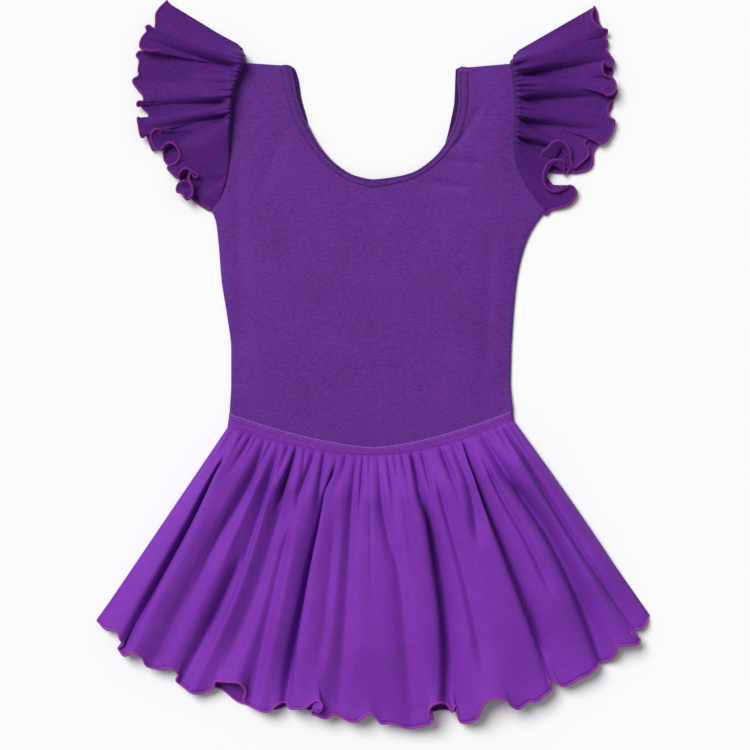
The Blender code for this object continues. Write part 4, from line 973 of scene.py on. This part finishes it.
rightSleeve = {
    "outward": 1, "centreX": 54.5, "centreY": 178.5, "startRadius": 130.5, "endRadius": 99.5,
    "startAngle": 36.7, "endAngle": -46.5, "armTop": 222.5, "armEnd": 107.0, "side": "right",
    "hemShares": (0.0, 0.25, 0.42, 0.66, 1.0), "armShares": (0.0, 0.16, 0.31, 0.5, 1.0),
    "backTurns": ((0.80, 0.05, 24.0),),
    "lift": 1.4, "topRise": 0.1, "gatherEnd": 0.56,
    "creases": ((0.14, 0.25, 9.0, 0.024, 0.026), (0.285, 0.40, 9.5, 0.034, 0.045),
                (0.41, 0.56, 10.0, 0.030, 0.050), (0.52, 0.68, 8.5, 0.028, 0.035)),
    "hem": (
        (159, 256.5, 1.8, 0.7), (157, 252.5, 4.5, 0.7), (157, 247.5, 5.5, 0.7), (159.5, 243.5, 6, 0.7),
        (163.5, 240.5, 6, 0.7), (167.5, 239.5, 5, 0.7), (167, 236.5, 3.5, 0.7), (164.5, 235, 2.8, 0.7),
        (167.5, 232.5, 3, 0.7), (168, 229.5, 3, 0.7), (167, 226.5, 2.6, 0.7), (169.5, 222, 3, 0.7),
        (172.5, 216.5, 4, 0.6), (170, 213, 6, 0.66), (165, 216.5, 7.5, 0.66), (164, 213, 8, 0.64),
        (165.5, 207, 7.5, 0.62), (171.5, 204.5, 7, 0.62), (173.5, 199.5, 8, 0.62), (171.5, 193.5, 8.5, 0.62),
        (167.5, 192.5, 8, 0.62), (164, 197, 7, 0.64), (166, 199.5, 5.5, 0.64), (170.5, 198, 4.5, 0.62),
        (174.5, 196.5, 3.5, 0.6), (173, 191.5, 3, 0.6), (169, 185.5, 2.8, 0.6), (168.5, 180, 3, 0.6),
        (169.5, 177, 3.5, 0.6), (173, 174.5, 4, 0.6), (172.5, 170.5, 4, 0.6), (169.5, 163, 4, 0.6),
        (166, 159, 4.5, 0.6), (162.5, 158, 5, 0.6), (160, 160, 5, 0.6), (160, 162.5, 4, 0.5),
        (156, 163.5, 3, 0.5), (153.5, 161.5, 2.6, 0.5), (151.5, 158, 2.6, 0.5), (154, 154, 3, 0.5),
        (154.5, 150, 3.5, 0.5), (150.5, 145.5, 3.5, 0.5), (143.5, 141, 4, 0.5), (141.5, 146, 5, 0.5),
        (141, 151.5, 6.5, 0.5), (138, 157, 7.5, 0.5), (134, 159.5, 8, 0.5), (130, 159.5, 8, 0.5),
        (125.5, 155.5, 7.5, 0.5), (121, 151, 6.5, 0.5), (121.5, 149, 5, 0.5), (128, 147.5, 3.8, 0.5),
        (135.5, 142.5, 3.2, 0.5), (141, 139.5, 2.8, 0.5), (137, 136.5, 3.5, 0.5), (136.5, 143, 5.5, 0.4),
        (134.5, 146, 6.5, 0.4), (130.5, 146, 7, 0.4), (125.5, 144, 7, 0.4), (123, 140, 6.8, 0.4),
        (121.5, 134.5, 6.5, 0.4), (122.5, 129.5, 6, 0.4), (125.5, 125, 6, 0.4), (130.5, 123.5, 6, 0.4),
        (136, 125, 5.5, 0.4), (140.5, 127.5, 5, 0.4), (143.5, 126.5, 4.5, 0.4), (145.5, 123, 4, 0.4),
        (144.5, 119, 3.5, 0.4), (140.5, 114.5, 3, 0.4), (134, 112, 2.4, 0.5), (127.5, 110.5, 2, 0.6),
        (123, 106.5, 1.6, 0.6),
    ),
}


def armholeX(side, heights):
    knots = np.arange(scoopLevel + 1)
    levels = np.linspace(scoopLevel, 0, 2 * scoopLevel + 1)
    edgeX = through(knots, column(armhole, armholeColumns, side + "X"), levels)
    edgeY = through(knots, column(armhole, armholeColumns, side + "Y"), levels)
    return np.interp(heights, edgeY, edgeX)


def calmHem(sleeve, share):
    angle = np.radians(sleeve["startAngle"] + (sleeve["endAngle"] - sleeve["startAngle"]) * share)
    radius = sleeve["startRadius"] + (sleeve["endRadius"] - sleeve["startRadius"]) * share
    return np.stack(onArc(sleeve, radius, angle), -1)


def armSeam(sleeve, share, inset):
    # Share of the way down the armhole, and the seam's places, for a share of the way down the hem.
    armShare = through(sleeve["hemShares"], sleeve["armShares"], share)
    armY = sleeve["armTop"] + (sleeve["armEnd"] - sleeve["armTop"]) * armShare
    armX = armholeX(sleeve["side"], armY) - sleeve["outward"] * inset(armShare)
    return armShare, np.stack([armX, armY], -1)


def sleevePuff(sleeve, along, out):
    # Height of the puffed cloth with its long creases, from the armhole out to the hem.
    looks = sleeveLooks
    calm = 1 - looks["underarmCalm"] * ease((along - looks["underarmStarts"]) / looks["underarmReach"])
    topEdge = sleeve["creases"][0][0] + looks["topEdge"]
    raised = 1 + sleeve["topRise"] * ease((topEdge - along) / looks["topFade"])
    puff = looks["puff"] * sleeve["lift"] * calm * raised
    puff = puff * ease(out / looks["puffRise"]) * (1 - out) ** looks["puffFall"]
    narrow = looks["creaseNarrow"] + (1 - looks["creaseNarrow"]) * ease(out / looks["creaseWidens"])
    fading = 1 - looks["creaseEndLoss"] * ease(beyond(out, looks["creaseEases"], 1))
    for atArm, atHem, depth, above, below in sleeve["creases"]:
        hemSide = through(sleeve["hemShares"], sleeve["armShares"], atHem)
        line = atArm + (float(hemSide) - atArm) * out
        width = np.where(along < line, above, below) * narrow
        trough = np.exp(-np.abs((along - line) / width) ** looks["creaseSharp"])
        puff = puff - depth * trough * ease(out / looks["creaseRise"]) * fading
    return np.maximum(puff, 0)


def sleeveGathers(sleeve, along, out):
    # Short puckers where the cloth leaves the armhole seam.
    looks = sleeveLooks
    dice = random.Random(looks["seed"])
    height = 0
    for k in range(looks["gathers"]):
        aside = dice.uniform(-looks["gatherAside"], looks["gatherAside"])
        place = (k + 0.5 + aside) / looks["gathers"] * sleeve["gatherEnd"]
        reach = looks["gatherReach"] * dice.uniform(*looks["gatherReaches"])
        tall = looks["gatherHeight"] * dice.uniform(*looks["gatherHeights"])
        shown = np.exp(-(out / reach) ** looks["gatherFall"]) * ease(out / looks["gatherRise"])
        height = height + tall * bell(along - place, looks["gatherWidth"]) * shown
    return height


def sleeveFront(sleeve):
    looks = sleeveLooks
    hem = roundThrough(sleeve["hem"], looks["front"])
    turn = np.degrees(np.arctan2(hem[:, 1] - sleeve["centreY"], hem[:, 0] - sleeve["centreX"]))
    if sleeve["outward"] < 0:
        turn = np.where(turn < 0, turn + 360, turn)
    share = (turn - sleeve["startAngle"]) / (sleeve["endAngle"] - sleeve["startAngle"])
    share = inOrder(np.clip(share, 0, 1), hemEvenness)
    armShare, arm = armSeam(sleeve, share, lambda down: looks["tuck"] * ease(down / looks["tuckStarts"]))
    even = calmHem(sleeve, share)
    out = np.linspace(0, 1, looks["out"])[None, :]
    loose = beyond(out, hem[:, 3][:, None], looks["hemEase"])
    plan = arm[:, None] + (even - arm)[:, None] * out[..., None]
    plan = plan + (hem[:, :2] - even)[:, None] * loose[..., None]
    nearTop = looks["shoulder"] * bell(share, looks["shoulderWidth"])[:, None]
    plan[..., 1] -= nearTop * np.clip(1 - out / looks["shoulderReach"], 0, 1) ** 2
    fromFold = (ease(share / looks["foldRoll"]) * ease((1 - share) / looks["underarmRoll"]))[:, None]
    along = armShare[:, None]
    length = np.linalg.norm(even - arm, axis=1)[:, None]
    underPanel = np.clip(1 - out * length / looks["seamDip"], 0, 1) ** looks["seamDipEase"]
    raised = sleevePuff(sleeve, along, out) + sleeveGathers(sleeve, along, out)
    z = layerStep + clothWall + (raised - looks["tuckDepth"] * underPanel) * fromFold
    z = z + (hem[:, 2][:, None] - z[:, -1:]) * loose
    return np.concatenate([plan, z[..., None]], -1)


def sleeveBack(sleeve, foldPoint):
    looks = sleeveLooks
    share = np.linspace(1, 0, looks["back"])
    arm = armSeam(sleeve, share, lambda down: -looks["backSeamGap"])[1]
    wave = looks["backWave"] * np.sin(2 * math.pi * looks["backWaves"] * share)
    inset = looks["backInset"] * ease(share / looks["backEnds"]) + wave * ease(share / looks["backWaveEnds"])
    for at, width, depth in sleeve["backTurns"]:
        inset = inset + depth * bell(share - at, width)
    calm = calmHem(sleeve, share)
    calm = calm + (foldPoint - calm[-1]) * ease(1 - share / looks["foldBlend"])[:, None]
    span = calm - arm
    hem = calm - span / np.linalg.norm(span, axis=1, keepdims=True) * inset[:, None]
    out = np.linspace(0, 1, looks["out"])[None, :, None]
    plan = arm[:, None] + (hem - arm)[:, None] * out
    return np.concatenate([plan, np.full(plan.shape[:2] + (1,), clothWall + floorGap)], -1)


def flutterSleeve(name, node, sleeve):
    # Back layer, the turn over the shoulder and front layer, in one strip of cloth.
    front = sleeveFront(sleeve)
    back = sleeveBack(sleeve, front[0, -1, :2])
    foldRow, backRow = front[0], back[-1]
    direction = foldRow[-1, :2] - foldRow[0, :2]
    direction = direction / np.linalg.norm(direction)
    away = np.array([-direction[1], direction[0]])
    away = away * (1 if away[1] > 0 else -1)
    middle, radius = (foldRow[:, 2] + backRow[:, 2]) / 2, (foldRow[:, 2] - backRow[:, 2]) / 2
    turns = []
    for angle in np.linspace(-math.pi / 2, math.pi / 2, sleeveLooks["turns"] + 2)[1:-1]:
        row = foldRow.copy()
        row[:, :2] += away * (radius * math.cos(angle))[:, None]
        row[:, 2] = middle + radius * math.sin(angle)
        turns.append(row)
    points = np.concatenate([back, turns, front])
    piece = thicken(clothGrid(name, points, sleeveShadeKnit), sleeveLooks["backLayerTop"])
    takeOver(piece, node)
    edge = points[:, -1] - [0, 0, clothWall / 2]
    return piece, hemRoll(name + "_hem_roll", edge, sleeveShadeThread, rollLooks["sleeveRadius"])


print("sleeves")
sleeveLeft, sleeveLeftHem = flutterSleeve("flutter_sleeve_left", "sleeve_left", leftSleeve)
sleeveRight, sleeveRightHem = flutterSleeve("flutter_sleeve_right", "sleeve_right", rightSleeve)

# Floor, light and camera
stageLooks = {
    "floorSize": 6.0, "floorDrop": 0.0002, "floor": (253, 253, 254), "floorGrain": (253, 253, 253),
    "grainScale": 40.0, "floorRoughness": 0.9, "floorSpecular": 0.1,
    "sky": 0.28, "keyStrength": 2.94, "keySoftness": 36.0,
    "keyFrom": (-0.9, 0.95, 1.5), "cameraHeight": 1.6, "viewWidth": 0.54,
    "viewCentre": (0.0007, -0.0086), "clothHeight": 0.004,
}


def makeStage():
    looks = stageLooks
    bpy.ops.mesh.primitive_plane_add(size=looks["floorSize"], location=(0, 0, -looks["floorDrop"]))
    floor = bpy.context.object
    floor.name = "floor"
    bpy.ops.object.transform_apply(location=True, rotation=True, scale=True)
    bench = Bench("pale_floor")
    grain = bench.noise(bench.place(), looks["grainScale"])
    tone = bench.mixColours(grain, paint(*looks["floor"]), paint(*looks["floorGrain"]))
    floor.data.materials.append(bench.finish(Base_Color=tone, Roughness=looks["floorRoughness"],
                                             Specular_IOR_Level=looks["floorSpecular"]))
    bpy.ops.object.light_add(type="SUN", location=looks["keyFrom"])
    lamp = bpy.context.object
    lamp.name = "soft_key"
    lamp.data.angle = math.radians(looks["keySoftness"])
    lamp.data.energy = looks["keyStrength"]
    x, y, z = looks["keyFrom"]
    lamp.rotation_euler = (math.atan2(math.hypot(x, y), z), 0, math.atan2(y, x) + math.pi / 2)
    world = bpy.data.worlds.new("studio")
    world.use_nodes = True
    sky = world.node_tree.nodes["Background"]
    sky.inputs["Color"].default_value = (1, 1, 1, 1)
    sky.inputs["Strength"].default_value = looks["sky"]
    bpy.context.scene.world = world
    bpy.context.scene.view_settings.view_transform = "Standard"
    bpy.ops.object.camera_add(location=(*looks["viewCentre"], looks["cameraHeight"]), rotation=(0, 0, 0))
    camera = bpy.context.object
    distance = looks["cameraHeight"] - looks["clothHeight"]
    camera.data.lens = camera.data.sensor_width * distance / looks["viewWidth"]
    bpy.context.scene.camera = camera


print("stage")
makeStage()

print("finished")
